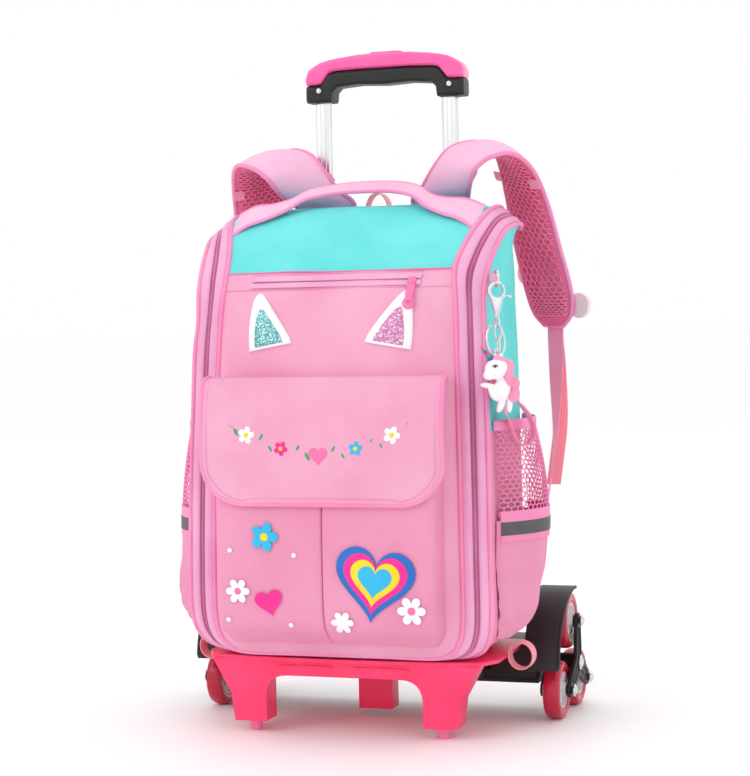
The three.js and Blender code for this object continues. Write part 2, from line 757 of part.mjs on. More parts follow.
// Side pockets, rows from the foot up: height, front and back seams in shares of the bag's depth,
// and the swell in shares of the pocket's own
const sidePocketRows = [
  // up, front, back, swell
  [0, 0.8, 0.62, 0.3], [0.06, 0.85, 0.52, 0.62], [0.14, 0.88, 0.47, 0.84], [0.24, 0.89, 0.44, 0.9],
  [0.36, 0.89, 0.2, 0.94], [0.48, 0.88, 0.12, 1], [0.62, 0.87, 0.1, 1], [0.8, 0.86, 0.1, 0.88], [1, 0.85, 0.1, 0.62],
];
const sidePocketFoot = bagLift + 20;
const sidePocketColumns = [0, 0.06, 0.2, 0.4, 0.6, 0.8, 0.94, 1];

function sidePocketRow(z) {
  const up = (z - sidePocketFoot) / (sidePocketTop - sidePocketFoot);
  let i = 0;
  while (i < sidePocketRows.length - 2 && sidePocketRows[i + 1][0] < up) i += 1;
  const [low, high] = [sidePocketRows[i], sidePocketRows[i + 1]];
  const share = (up - low[0]) / (high[0] - low[0]);
  return low.map((value, k) => mix(value, high[k], share));
}

function sidePocketPoint(z, along, proud) {
  const [, front, back, swell] = sidePocketRow(z);
  const y = mix(aheadOfBack(front), aheadOfBack(back), along);
  const out = sidePocketSwell * swell * Math.sin(Math.PI * along) ** 0.7;
  return V(sideAt(y, z) + touch + 0.8 * sidePocketWall + out + proud, y, z);
}

const sidePocketGrid = (heights, proud) =>
  heights.map((z) => sidePocketColumns.map((along) => sidePocketPoint(z, along, proud)));
const heightsAt = (shares) => shares.map((up) => mix(sidePocketFoot, sidePocketTop, up));

const beside = V(touch, 0, -touch / 2);

function sidePocketBase() {
  const rows = heightsAt([0, 0.06, 0.14, 0.24, 0.36, 0.48]);
  rows.push(meshFoot - touch);
  return seatedOn(sheet(sidePocketGrid(rows, 0), sidePocketWall, bagMiddle), beside, bagShellShape);
}

function sidePocketNet() {
  const rim = sidePocketTop - 10;
  const heights = [meshFoot, mix(meshFoot, rim, 0.33), mix(meshFoot, rim, 0.66), rim, sidePocketTop];
  const net = sheet(sidePocketGrid(heights, 0), sidePocketWall, bagMiddle);
  const holes = [];
  const stepZ = (rim - meshFoot) / (netRows + 0.5);
  for (let row = 0; row < netRows; row += 1) {
    const z = meshFoot + stepZ * (row + 0.75);
    for (let column = 0; column < netColumns; column += 1) {
      const shift = row % 2 === 0 ? 0 : 0.5;
      const along = 0.12 + (0.78 * (column + shift)) / netColumns;
      const at = sidePocketPoint(z, along, 0);
      const around = sidePocketPoint(z, along + 0.02, 0).sub(sidePocketPoint(z, along - 0.02, 0));
      const hole = new THREE.CylinderGeometry(netHole / 2, netHole / 2, 6 * sidePocketWall, 4);
      hole.rotateZ(Math.PI / 2);
      hole.rotateZ(Math.atan2(-around.x, around.y));
      hole.translate(at.x, at.y, at.z);
      holes.push(hole);
    }
  }
  return seatedOn(cut(net, ...holes), beside, bagShellShape);
}

function reflectiveStripe() {
  const middle = meshFoot - 2 - stripeHeight / 2;
  const heights = [middle - stripeHeight / 2, middle + stripeHeight / 2];
  const columns = sidePocketColumns.slice(1, -1);
  const grid = heights.map((z) => columns.map((along) => sidePocketPoint(z, along, touch + stripeWall)));
  return sheet(grid, stripeWall, bagMiddle);
}

const mirrorX = (geometry) => {
  const copy = geometry.clone().scale(-1, 1, 1);
  const index = copy.index.array;
  for (let i = 0; i < index.length; i += 3) [index[i], index[i + 1]] = [index[i + 1], index[i]];
  copy.computeVertexNormals();
  return copy;
};

function addPair(name, geometry, material, group = bag) {
  const right = geometry.index ? geometry : mergeVertices(geometry);
  addPart(`${name}_right`, right, material, V(0, 0, 0), group);
  addPart(`${name}_left`, mirrorX(right), material, V(0, 0, 0), group);
}
addPair("side_pocket_base", sidePocketBase(), pinkCloth);
addPair("side_pocket_net", sidePocketNet(), coralMesh);
addPair("reflective_stripe", reflectiveStripe(), reflective);

// Grab handle: its ends lie flat on the top panel, its middle arches up and leans back
const grabRows = [
  // across, back, up, tilt, thick
  [-1, 0, 0, -36, 0.5], [-0.86, 0, 0.12, -36, 0.5], [-0.7, 0.02, 0.22, -34, 0.8],
  [-0.58, 0.16, 0.48, -30, 1.3], [-0.44, 0.46, 0.82, -26, 1.5], [-0.22, 0.84, 1, -24, 1.6], [0, 1, 1.04, -24, 1.6],
];
const grabFoot = V(0, aheadOfBack(0.52), upBag(0.982)); // height of the top where the ends are sewn

const bothHands = (rows) => [
  ...rows,
  ...rows
    .slice(0, -1)
    .reverse()
    .map(([across, ...rest]) => [-across, ...rest]),
];

function grabHandle() {
  return strap(
    bothHands(grabRows).map(([across, back, up, tilt, thick]) => ({
      at: V(across * grabReach, grabFoot.y + back * grabLean, grabFoot.z + up * grabRise),
      across: V(0, Math.cos(rad(tilt)), -Math.sin(rad(tilt))),
      width: grabWidth,
      wall: thick * grabWall,
      edge: 0.4,
    })),
  );
}
addPart("grab_handle", seatedOn(grabHandle(), V(0, -touch, touch), topPanelShape), paleCloth);

// Shoulder straps: out from behind the bag's back, forward over the top, out, back and down beside it
const strapFoot = V(strapRoot, -bagBack + touch + 0.3 * strapWall, strapTipHeight);
const strapReach = V(strapSpread, strapSwing, strapRise);
const strapRows = [
  // across, back, up, turn, tilt, width, thick
  [0, 0, 0.434, 0, 0, 0.98, 0.55],
  [0, 0, 0.67, 0, 0, 0.98, 0.55],
  [0.013, -0.17, 0.727, 5, -4, 1, 0.75],
  [0.112, -0.49, 0.79, 21, -3, 1, 1],
  [0.219, -0.654, 0.886, 32, -8, 1, 1],
  [0.33, -0.654, 0.956, 38, -16, 1, 1],
  [0.455, -0.586, 0.99, 44, -17, 1, 1],
  [0.598, -0.44, 1, 47, -15, 1, 1],
  [0.7, -0.16, 0.966, 46, -13, 1, 1],
  [0.759, 0.197, 0.871, 38, -12, 1, 1],
  [0.804, 0.565, 0.705, 29, -14, 1, 1],
  [0.857, 0.826, 0.48, 25, -10, 1, 1],
  [0.955, 0.932, 0.209, 27, -2, 1, 1],
  [0.99, 0.98, 0.075, 27, -2, 0.84, 0.9],
  [1, 1, 0, 27, -2, 0.45, 0.6],
];

const levelTurn = (turn, tilt = 0) =>
  V(Math.cos(rad(turn)) * Math.cos(rad(tilt)), -Math.sin(rad(turn)) * Math.cos(rad(tilt)), Math.sin(rad(tilt)));

function shoulderStrap() {
  return strap(
    strapRows.map(([across, back, up, turn, tilt, wide, thick]) => ({
      at: V(across, back, up).multiply(strapReach).add(strapFoot),
      across: levelTurn(turn, tilt),
      sheared: true,
      width: wide * strapWidth,
      wall: thick * strapWall,
      edge: 0.45,
    })),
  );
}
const strapShape = shoulderStrap();
addPair("shoulder_strap", strapShape, paleCloth);

// Webbing from the strap's tip to the bag's back corner, and the loose adjusting tail behind it
const strapTip = V(strapReach.x, strapReach.y, 0).add(strapFoot);
const webFoot = V(acrossBag(0.963) + 4, -bagBack - 10, upBag(0.16));
const webRows = [
  // shares of the run from the strap's tip to the bag: across, back, down; then the turn
  [0, 0, -0.12, 16], [0.02, 0, 0, 16], [0.02, 0.02, 0.2, 30], [0.06, 0.1, 0.45, 62],
  [0.25, 0.35, 0.68, 80], [0.62, 0.72, 0.86, 88], [1, 1, 1, 90],
];

function strapWebbing() {
  const under = strapWall / 2 + webWall / 2 + 2 * touch;
  return strap(
    webRows.map(([across, back, down, turn]) => ({
      at: V(
        mix(strapTip.x, webFoot.x, across),
        mix(strapTip.y + under, webFoot.y, back),
        mix(strapTip.z, webFoot.z, down),
      ),
      across: levelTurn(turn),
      width: webWidth,
      wall: webWall,
    })),
  );
}
addPair("strap_webbing", strapWebbing(), paleCloth);

const tailRows = [
  // shares of the tail's length: out, back, down; then the turn
  [0, 0, -0.1, 20], [0, 0, 0.04, 12], [0.01, 0.02, 0.3, 0],
  [0.01, 0.03, 0.6, -6], [-0.02, 0.03, 0.85, -4], [-0.04, 0.02, 1, -4],
];

function webbingTail() {
  const under = strapWall / 2 + 1.5 * webWall + 4 * touch;
  const start = V(strapTip.x, strapTip.y + under, strapTip.z);
  return strap(
    tailRows.map(([out, back, down, turn]) => ({
      at: V(out, back, -down).multiplyScalar(tailLength).add(start),
      across: levelTurn(turn),
      width: tailWidth,
      wall: webWall,
    })),
  );
}
addPair("webbing_tail", webbingTail(), coralWebbing);

// Chest clip behind each strap: two round lobes on a bar
function chestClip() {
  const lobe = clipDiameter / 2;
  const slope = rad(27);
  const outline = new THREE.Shape();
  const waist = lobe * 0.45;
  const half = clipSpread / 2;
  outline.absarc(half, 0, lobe, Math.PI - 0.4, -Math.PI + 0.4, true);
  outline.lineTo(half - lobe * 1.4, -waist);
  outline.lineTo(-half + lobe * 1.4, -waist);
  outline.absarc(-half, 0, lobe, -0.4, 0.4, true);
  outline.lineTo(-half + lobe * 1.4, waist);
  outline.lineTo(half - lobe * 1.4, waist);
  const geometry = plate(outline, 0, clipWall, 7);
  geometry.rotateY(slope);
  geometry.rotateZ(rad(-clipTurn));
  const behind = V(Math.sin(rad(clipTurn)), Math.cos(rad(clipTurn)), 0).multiplyScalar(strapWall / 2 + touch);
  geometry.translate(...V(0.955, 0.932, 0.209).multiply(strapReach).add(strapFoot).add(behind).toArray());
  return seatedOn(geometry, V(touch * Math.sin(rad(clipTurn)), touch * Math.cos(rad(clipTurn)), 0), strapShape);
}
addPair("chest_clip", chestClip(), clearPlastic);

// Webbing loops: one at each lower corner of the bag, and one to hang the bag up by
function webLoop(centre, reach, width, across) {
  const turns = 12;
  const out = V(-across.y, across.x, 0);
  const rows = [];
  for (let k = 0; k < turns; k += 1) {
    const angle = (2 * Math.PI * k) / turns;
    const at = centre.clone().addScaledVector(out, reach.x * Math.cos(angle));
    at.z += reach.z * Math.sin(angle);
    rows.push({ at, across, width, wall: webWall });
  }
  return strap(rows, true);
}
const cornerReach = V(13, 0, 14);

function cornerLoop() {
  const centre = V(trayHalf + touch + webWall / 2 + cornerReach.x, -120, trayTop - trayWall / 2);
  return webLoop(centre, cornerReach, loopWidth, V(0, 1, 0));
}

function hangLoop() {
  const reach = V(13, 0, hangLoopHeight / 2);
  const centre = V(-8, -bagBack + touch + loopWidth / 2, upBag(1) + hangLoopRise - hangLoopHeight / 2);
  return webLoop(centre, reach, loopWidth, V(0, 1, 0));
}
addPart("hang_loop", hangLoop(), coralWebbing);

// Charm: drawn in X and Z around its own upright line, then turned and moved to its place
const onCharm = (geometry, z) => geometry.rotateZ(rad(charmTurn)).translate(charmX, charmY, z);
const ringTurned = (geometry) => geometry.rotateZ(Math.PI / 2);

function oval(halfWidth, halfHeight, wire, turns = 12) {
  const path = [];
  for (let k = 0; k < turns; k += 1) {
    const angle = (2 * Math.PI * k) / turns;
    path.push(V(halfWidth * Math.cos(angle), 0, halfHeight * Math.sin(angle)));
  }
  return tube(path, wire, 5, true);
}

const tabRoot = V(sideAt(tabRootY, charmTop) + tabOpening + tabWall / 2 + 0.1, tabRootY, charmTop);
const ringAtTab = Math.sqrt(ringRadius ** 2 - (tabWidth / 2) ** 2); // ring's reach at the tab's edges
const tabFront = stepTowards(V(charmX, charmY, charmTop), tabRoot, ringAtTab - charmWire - tabWall / 2 - 3 * touch);

function charmTab() {
  const along = V(0, 0, 0).subVectors(tabFront, tabRoot).normalize();
  const out = V(-along.y, along.x, 0);
  const reach = tabRoot.distanceTo(tabFront) / 2;
  const rows = [];
  for (let k = 0; k < 10; k += 1) {
    const angle = (2 * Math.PI * k) / 10;
    const at = tabRoot.clone().lerp(tabFront, 0.5);
    at.addScaledVector(along, reach * Math.cos(angle)).addScaledVector(out, tabOpening * Math.sin(angle));
    rows.push({ at, across: V(0, 0, 1), width: tabWidth, wall: tabWall });
  }
  return strap(rows, true);
}
addPart("charm_tab", charmTab(), pinkCloth);

// Each ring or link hangs from the one above, their wires a touch apart
const claspHole = claspRadius - claspBar;
const claspMiddle = charmTop - ringRadius + charmWire + 1.5 * touch - claspHole;
const eyeDrop = claspLength - claspRadius + eyeRadius - 0.6; // below the middle of the hook
const eyeMiddle = claspMiddle - eyeDrop;

// Height of a wire that lies in the clasp's eye, at a place behind its middle
function inEye(wire, back) {
  const room = eyeRadius - charmWire - wire - touch;
  return eyeMiddle - Math.sqrt(room ** 2 - back ** 2);
}

function charmRing() {
  const ring = oval(ringRadius, ringRadius, charmWire);
  ring.rotateZ(Math.atan2(tabRoot.y - charmY, tabRoot.x - charmX));
  return ring.translate(charmX, charmY, charmTop);
}
addPart("charm_ring", charmRing(), steel);

// Lobster clasp: an open hook with a barrel and an eye, closed by a lever on a pin
const leverFrom = -34; // where the lever's pin sits round the hook, in degrees
const leverTo = 50;
const hookMiddle = (claspRadius + claspHole) / 2;
const leverOutside = claspRadius - 0.9;
const leverPin = V(hookMiddle * Math.cos(rad(leverFrom)), 0, hookMiddle * Math.sin(rad(leverFrom)));

const leverTip = V(leverOutside * Math.cos(rad(leverTo - 1)), 0, leverOutside * Math.sin(rad(leverTo - 1)));
const leverReach = leverTip.distanceTo(leverPin);

function arcPlate(from, to, inside, outside, wall, steps = 8) {
  const shape = new THREE.Shape();
  shape.absarc(0, 0, outside, rad(from), rad(to), false);
  shape.absarc(0, 0, inside, rad(to), rad(from), true);
  return plate(shape, -wall / 2, wall, steps);
}

function pinDisc(radius, wall) {
  const disc = new THREE.CylinderGeometry(radius, radius, wall, 10);
  disc.translate(leverPin.x, 0, leverPin.z);
  return disc;
}

function lobsterClasp() {
  const hook = arcPlate(leverTo + 6, 360 + leverFrom, claspHole, claspRadius, claspWall, 12);
  const swing = arcPlate(80, 140, claspHole, leverReach + touch, 2 * claspWall);
  swing.translate(leverPin.x, 0, leverPin.z);
  const pin = 2.4;
  const stem = new THREE.Shape();
  stem.moveTo(-claspRadius * 0.78, -claspRadius * 0.5);
  stem.lineTo(-2, -claspLength + claspRadius + 3);
  stem.lineTo(2, -claspLength + claspRadius + 3);
  stem.lineTo(claspRadius * 0.62, -claspRadius * 0.75);
  stem.lineTo(0, -claspHole - 0.3);
  const barrel = barAlongZ(0, 0, -claspLength + claspRadius - 1, -claspLength + claspRadius + 8, 2.2, 2.2, 8);
  const eye = oval(eyeRadius, eyeRadius, charmWire, 12).translate(0, 0, -eyeDrop);
  const clasp = join(hook, plate(stem, -claspWall / 2, claspWall), barrel, ringTurned(eye));
  return cut(clasp, pinDisc(pin + touch, 20), swing);
}

function claspLever() {
  const arm = arcPlate(leverFrom, leverTo - 1, claspHole + 0.4, leverOutside, claspWall - 1, 6);
  const thumb = new THREE.SphereGeometry(1.8, 8, 6);
  thumb.translate(claspRadius + 4.5, 0, leverPin.z - 1.2);
  const stalk = new THREE.CylinderGeometry(0.8, 0.8, 5, 6);
  stalk.rotateZ(Math.PI / 2 - 0.2);
  stalk.translate(leverPin.x + 3.6, 0, leverPin.z - 0.5);
  return join(arm, pinDisc(2.4, claspWall - 1), stalk, thumb);
}
addPart("lobster_clasp", onCharm(lobsterClasp(), claspMiddle), steel);
addPart("clasp_lever", onCharm(claspLever(), claspMiddle), steel);

// Split ring, behind the links in the clasp's eye, its foot swung back behind the pony
const splitBack = 1.2;
const splitTilt = 12;
const splitTop = inEye(charmWire, splitBack);

function splitRing() {
  const ring = oval(splitWidth / 2, splitHeight / 2, charmWire, 12).translate(0, 0, -splitHeight / 2);
  return ring.rotateX(rad(splitTilt)).translate(0, splitBack, 0);
}
addPart("split_ring", onCharm(splitRing(), splitTop), steel);
const splitFoot = V(
  0,
  splitBack + splitHeight * Math.sin(rad(splitTilt)),
  splitTop - splitHeight * Math.cos(rad(splitTilt)),
);

// Two links from the clasp's eye to the pony
const linkBack = -2.2;
const upperLink = inEye(linkWire, linkBack) - linkHeight / 2;
const lowerLink = upperLink - linkHeight + 2 * linkWire + touch;
const link = () => oval(linkWidth / 2, linkHeight / 2, linkWire, 10);
addPart("chain_link_upper", onCharm(link().translate(0, linkBack, 0), upperLink), steel);
addPart("chain_link_lower", onCharm(ringTurned(link()).translate(0, linkBack, 0), lowerLink), steel);

// Pony: a rounded toy, its parts in shares of its height from its feet, joined in one moulding
const ponyParts = [
  // across, ahead, up, half width, half thickness, half height, tilt
  [-0.06, 0, 0.68, 0.2, 0.13, 0.18, -20], // head
  [-0.16, 0, 0.6, 0.13, 0.11, 0.1, -15], // muzzle
  [0.02, 0, 0.36, 0.15, 0.12, 0.2, 20], // body
  [0.0, 0, 0.12, 0.055, 0.06, 0.13, 25], // front leg
  [0.16, 0, 0.12, 0.055, 0.06, 0.14, 0], // rear leg
  [-0.14, 0, 0.3, 0.05, 0.06, 0.12, -25], // lower arm
  [-0.2, 0, 0.43, 0.14, 0.05, 0.045, 8], // raised arm
  [0.12, 0, 0.56, 0.08, 0.12, 0.24, 12], // mane
  [-0.02, 0, 0.84, 0.15, 0.1, 0.07, 12], // forelock
  [0.23, 0, 0.46, 0.1, 0.05, 0.12, -35], // wing
  [0.22, 0, 0.27, 0.1, 0.09, 0.14, 25], // tail
];

function pony() {
  const lumps = ponyParts.map(([across, ahead, up, wide, thick, high, tilt]) => {
    const lump = new THREE.SphereGeometry(ponyHeight, 6, 5);
    lump.scale(wide, thick, high);
    lump.rotateY(rad(tilt));
    lump.translate(across * ponyHeight, -ahead * ponyHeight, up * ponyHeight);
    return lump;
  });
  const horn = new THREE.ConeGeometry(0.055 * ponyHeight, 0.26 * ponyHeight, 7);
  horn.rotateX(Math.PI / 2);
  horn.rotateY(rad(-42));
  horn.translate(-0.23 * ponyHeight, 0, 0.92 * ponyHeight);
  const loop = oval(ponyLoop, ponyLoop, charmWire, 10).translate(0, 3, ponyLoopUp * ponyHeight);
  return join(...lumps, horn, loop);
}
const ponyHang = lowerLink - linkHeight / 2 + charmWire + linkWire + 1.5 * touch - ponyLoop;
addPart("pony", onCharm(pony().translate(0, linkBack - 3, 0), ponyHang - ponyLoopUp * ponyHeight), charmWhite);

// Soft wrist band hanging from the split ring behind the pony
const bandRows = [
  // across, back and down from the split ring's foot, in shares of the band's drop; turn; width
  [0, 0.044, 0.01, 0, 0.5], [0.02, 0.04, 0.12, 0, 0.6], [0.09, 0.04, 0.28, 20, 0.85],
  [0.22, 0.04, 0.44, 60, 0.95], [0.36, 0.04, 0.58, 90, 1], [0.46, 0.04, 0.74, 90, 1],
  [0.48, 0.04, 0.9, 90, 1], [0.39, 0.04, 1, 90, 1], [0.27, 0.04, 0.96, 90, 1], [0.2, 0.03, 0.8, 90, 1],
  [0.13, 0.006, 0.62, 60, 0.9], [0.03, -0.02, 0.44, 20, 0.8], [-0.01, -0.034, 0.26, 0, 0.7],
  [-0.005, -0.036, 0.12, 0, 0.6], [0, -0.044, 0.01, 0, 0.5],
];

function wristBand() {
  const overWire = [0, 0, -(charmWire + 9 * touch + bandWall / 2) / bandDrop, 0, 0.5];
  const rows = [overWire, ...bandRows].map(([across, back, down, turn, wide]) => ({
    at: V(across, back, -down).multiplyScalar(bandDrop).add(V(0, splitFoot.y, 0)),
    across: V(Math.cos(rad(turn)), Math.sin(rad(turn)), 0),
    width: wide * bandWidth,
    wall: bandWall,
  }));
  return strap(rows, true);
}
addPart("wrist_band", onCharm(wristBand(), splitFoot.z), charmPink);

// Pull tubes: a sleeve tube fixed behind the bag and an inner tube that slides in it
function tubeOutline(width, thickness) {
  const [w, t] = [width / 2, thickness / 2];
  const bevel = t * 0.4;
  const corners = [[w - bevel, -t], [w, -t + bevel], [w, t - bevel], [w - bevel, t]];
  const others = corners.map(([x, y]) => [-x, -y]);
  return [...corners, ...others].map(([x, y]) => new THREE.Vector2(x, y));
}

function tubeRun(width, thickness, z0, z1, bored) {
  const shape = new THREE.Shape(tubeOutline(width, thickness));
  if (bored) {
    const bore = tubeOutline(tubeWidth + 2 * tubeFit, tubeThickness + 2 * tubeFit);
    shape.holes.push(new THREE.Path(bore.reverse()));
  }
  const geometry = new THREE.ExtrudeGeometry(shape, { depth: z1 - z0, bevelEnabled: false });
  return geometry.translate(0, 0, z0);
}
const innerTubeFoot = 225; // lower end of the inner tube as shown
const gripCrest = gripBottom + gripHeight;
for (const [hand, side] of [[1, "right"], [-1, "left"]]) {
  const at = V((hand * tubeSpacing) / 2, 0, 0);
  const sleeve = tubeRun(sleeveTubeWidth, sleeveTubeThickness, beamTop + touch, sleeveTubeTop, true);
  const inner = tubeRun(tubeWidth, tubeThickness, innerTubeFoot, gripBottom + gripSocket, false);
  addPart(`sleeve_tube_${side}`, sleeve, aluminium, at);
  addPart(`inner_tube_${side}`, inner, aluminium, at);
}

// Grip: a black core with a socket for each tube, under a pink cover with the release button
const gripRows = [
  // share of the half width; then the lower edge, the split and the top in shares of the grip's height
  [-1, 0, 0.38, 0.56], [-0.96, 0, 0.38, 0.7], [-0.87, 0, 0.38, 0.8], [-0.8, 0, 0.39, 0.86], [-0.7, 0, 0.62, 0.9],
  [-0.67, 0, 0.64, 0.91], [-0.66, 0.2, 0.645, 0.912], [-0.6, 0.31, 0.66, 0.93], [-0.33, 0.35, 0.68, 0.98], [0, 0.32, 0.68, 1],
];

function gripBar(lower, upper, thickness) {
  const rings = bothHands(gripRows).map((row, i, rows) => {
    const atEnd = i === 0 || i === rows.length - 1;
    const half = (thickness / 2) * (atEnd ? 0.8 : 1);
    const [low, high] = [lower(row), upper(row)];
    const bevel = Math.min(3, (high - low) * 0.3);
    const corner = (y, z) => V(row[0] * gripHalf, y, gripBottom + z);
    return [
      corner(-half + bevel, low), corner(half - bevel, low), corner(half, low + bevel), corner(half, high - bevel),
      corner(half - bevel, high), corner(-half + bevel, high), corner(-half, high - bevel), corner(-half, low + bevel),
    ];
  });
  return loft(rings);
}

function buttonBar(fit, z0, z1) {
  const shape = new THREE.Shape();
  const [long, short] = [buttonLength / 2 + fit, buttonWidth / 2 + fit];
  shape.absarc(long - short, 0, short, -Math.PI / 2, Math.PI / 2, false);
  shape.absarc(-long + short, 0, short, Math.PI / 2, (Math.PI * 3) / 2, false);
  const geometry = new THREE.ExtrudeGeometry(shape, { depth: z1 - z0, bevelEnabled: false, curveSegments: 5 });
  return geometry.translate(0, 0, z0);
}
const gripSplit = gripBottom + gripRows[gripRows.length - 1][2] * gripHeight;
const buttonWell = buttonBar(touch, gripSplit - buttonSeat, gripCrest + 10);

function gripCore() {
  const core = gripBar(([, low]) => low * gripHeight, ([, , split]) => split * gripHeight - touch, gripThickness - 2);
  const sockets = [-1, 1].map((hand) => {
    const size = [tubeWidth + 2 * touch, tubeThickness + 2 * touch];
    const hole = tubeRun(...size, gripBottom - 10, gripBottom + gripSocket + touch, false);
    return hole.translate((hand * tubeSpacing) / 2, 0, 0);
  });
  return cut(core, ...sockets, buttonWell);
}

function gripCover() {
  const cover = gripBar(([, , split]) => split * gripHeight, ([, , , top]) => top * gripHeight, gripThickness);
  return cut(cover, buttonWell);
}
addPart("grip_core", gripCore(), blackPlastic);
addPart("grip_cover", gripCover(), gripPink);
const buttonFoot = gripSplit - buttonSeat + touch + buttonTravel;
addPart("release_button", buttonBar(0, buttonFoot, gripCrest + buttonRise), gripPink);

// Tray under the bag, with its skirt, front legs, feet and a channel leg behind, all one moulding
const deckFoot = trayTop - trayWall;

function trayDeck() {
  const deck = new THREE.Shape();
  const [front, back] = [-trayFront, starY - beamDepth / 2 - touch];
  deck.moveTo(-trayHalf, back);
  deck.lineTo(-trayHalf, front + 34);
  deck.lineTo(-trayHalf + 12, front + 10);
  deck.quadraticCurveTo(0, front - 12, trayHalf - 12, front + 10);
  deck.lineTo(trayHalf, front + 34);
  deck.lineTo(trayHalf, back);
  const geometry = new THREE.ExtrudeGeometry(deck, { depth: trayWall, bevelEnabled: false, curveSegments: 6 });
  return geometry.translate(0, 0, deckFoot);
}

function trayFace() {
  const inner = legSpacing / 2 - legWidth / 2;
  const outer = legSpacing / 2 + legWidth / 2;
  const top = legSpacing / 2 + legTopWidth / 2 + 9;
  const skirt = trayTop - skirtHeight;
  const arch = 24;
  const face = new THREE.Shape();
  face.moveTo(-top, deckFoot);
  face.lineTo(-outer - 4, mix(legShoulder, deckFoot, 0.45));
  face.lineTo(-outer, legShoulder);
  face.lineTo(-inner, legShoulder);
  face.lineTo(-inner, skirt - arch);
  face.quadraticCurveTo(-inner, skirt, -inner + arch, skirt);
  face.lineTo(inner - arch, skirt);
  face.quadraticCurveTo(inner, skirt, inner, skirt - arch);
  face.lineTo(inner, legShoulder);
  face.lineTo(outer, legShoulder);
  face.lineTo(outer + 4, mix(legShoulder, deckFoot, 0.45));
  face.lineTo(top, deckFoot);
  const front = -trayFront + 6;
  const behind = block(-inner - 1, inner + 1, front + trayWall, front + legDepth + 1, 0, deckFoot);
  return cut(plate(face, front, legDepth), behind);
}

function trayFeet() {
  return [-1, 1].map((hand) => {
    const y = -trayFront + 6 + legDepth / 2;
    return barAlongZ((hand * legSpacing) / 2, y, 0, legShoulder + 1, footDiameter * 0.4, footDiameter / 2, 12);
  });
}

function channelLeg() {
  const half = midLegWidth / 2;
  const wall = 3.5;
  const back = midLegY + midLegDepth;
  return cut(
    block(-half, half, midLegY, back, midLegFoot, deckFoot + 1),
    block(-half + wall, half - wall, midLegY + wall, back + 1, midLegFoot - 1, deckFoot),
  );
}
addPart("tray", join(trayDeck(), trayFace(), channelLeg(), ...trayFeet()), hotPinkPlastic);
addPair("corner_loop", cornerLoop(), coralWebbing);

// Axle frame: a black beam behind the tray that carries the tubes, the axles and two brackets
const wheelRadius = wheelDiameter / 2;
const starArm = wheelSpacing / Math.sqrt(3);
const starZ = wheelRadius + starArm / 2;
const starReach = starArm + wheelRadius;
const plateInner = wheelX - wheelWidth / 2 - starGap - starPlate;
const plateOuter = wheelX + wheelWidth / 2 + starGap;
const starOuter = plateOuter + starPlate;
const polygon = (points) => new THREE.Shape(points.map(([u, v]) => new THREE.Vector2(u, v)));

function axleFrame() {
  const [front, back] = [starY - beamDepth / 2, starY + beamDepth / 2];
  const bevel = 6;
  const beam = polygon([
    [front + bevel, beamBottom], [back - bevel, beamBottom], [back, beamBottom + bevel],
    [back, beamTop], [front, beamTop], [front, beamBottom + bevel],
  ]);
  const lug = polygon([
    [front + 4, 46], [front - 26, 50], [front - 38, 44], [front - 50, 52], [front - 50, 62],
    [front + 4, deckFoot - 2 * touch],
  ]);
  const axle = barAlongX(-starOuter, starOuter, starY, starZ, axleDiameter / 2, 10);
  const lugs = [-1, 1].map((hand) => slab(lug, hand * 108 - 8, 16));
  return join(slab(beam, -beamHalf, 2 * beamHalf), axle, ...lugs);
}
addPart("axle_frame", axleFrame(), blackPlastic);

// Fender: an arc over the front and top of each wheel set, on a web plate at its inner edge
function fender() {
  const inside = starReach + fenderGap;
  const outside = inside + fenderWall;
  const inner = beamHalf + touch;
  const [from, to] = [rad(84), rad(177)];
  const arc = new THREE.Shape();
  arc.absarc(starY, starZ, outside, from, to, false);
  arc.absarc(starY, starZ, inside, to, from, true);
  const web = new THREE.Shape();
  web.absarc(starY, starZ, outside - 0.5, from, to, false);
  web.lineTo(starY - 24, starZ - 8);
  web.lineTo(starY + 12, starZ - 8);
  web.lineTo(starY + 12, starZ + 14);
  const bore = barAlongX(inner - 10, inner + 20, starY, starZ, axleDiameter / 2 + touch, 10);
  return cut(join(slab(arc, inner, fenderOuter - inner, 7), slab(web, inner, fenderWall, 7)), bore);
}
addPair("fender", fender(), blackPlastic);

// Three-wheel star: two three-armed plates, a hub tube and a pin through each wheel
const wheelPlaces = [
  ["top", 90], ["front", 210], ["rear", 330],
].map(([name, angle]) => ({
  name,
  angle,
  y: starY + starArm * Math.cos(rad(angle)),
  z: starZ + starArm * Math.sin(rad(angle)),
}));

function starOutline() {
  const points = [];
  const waist = 14;
  for (const { angle, y, z } of wheelPlaces) {
    for (const turn of [-75, -25, 25, 75]) {
      points.push([y + starLobe * Math.cos(rad(angle + turn)), z + starLobe * Math.sin(rad(angle + turn))]);
    }
    points.push([starY + waist * Math.cos(rad(angle + 60)), starZ + waist * Math.sin(rad(angle + 60))]);
  }
  return polygon(points);
}

function star() {
  const plates = [plateInner, plateOuter].map((x) => slab(starOutline(), x, starPlate));
  const hub = barAlongX(plateInner + 1, starOuter - 1, starY, starZ, hubTube / 2, 10);
  const pins = wheelPlaces.map(({ y, z }) => barAlongX(plateInner + 1, starOuter + 3, y, z, pinDiameter / 2, 8));
  const bore = barAlongX(plateInner - 5, starOuter + 5, starY, starZ, axleDiameter / 2 + touch, 10);
  return cut(join(...plates, hub, ...pins), bore);
}
addPair("star", star(), blackPlastic);

// Wheel: a rounded tread on a hub, bored for its pin
const wheelProfile = [
  // radius beyond the bore and place along the axle, in shares of what is left and of half the width
  [0, 1], [0.3, 0.9], [0.6, 0.6], [0.88, 0.75], [1, 0.22],
];

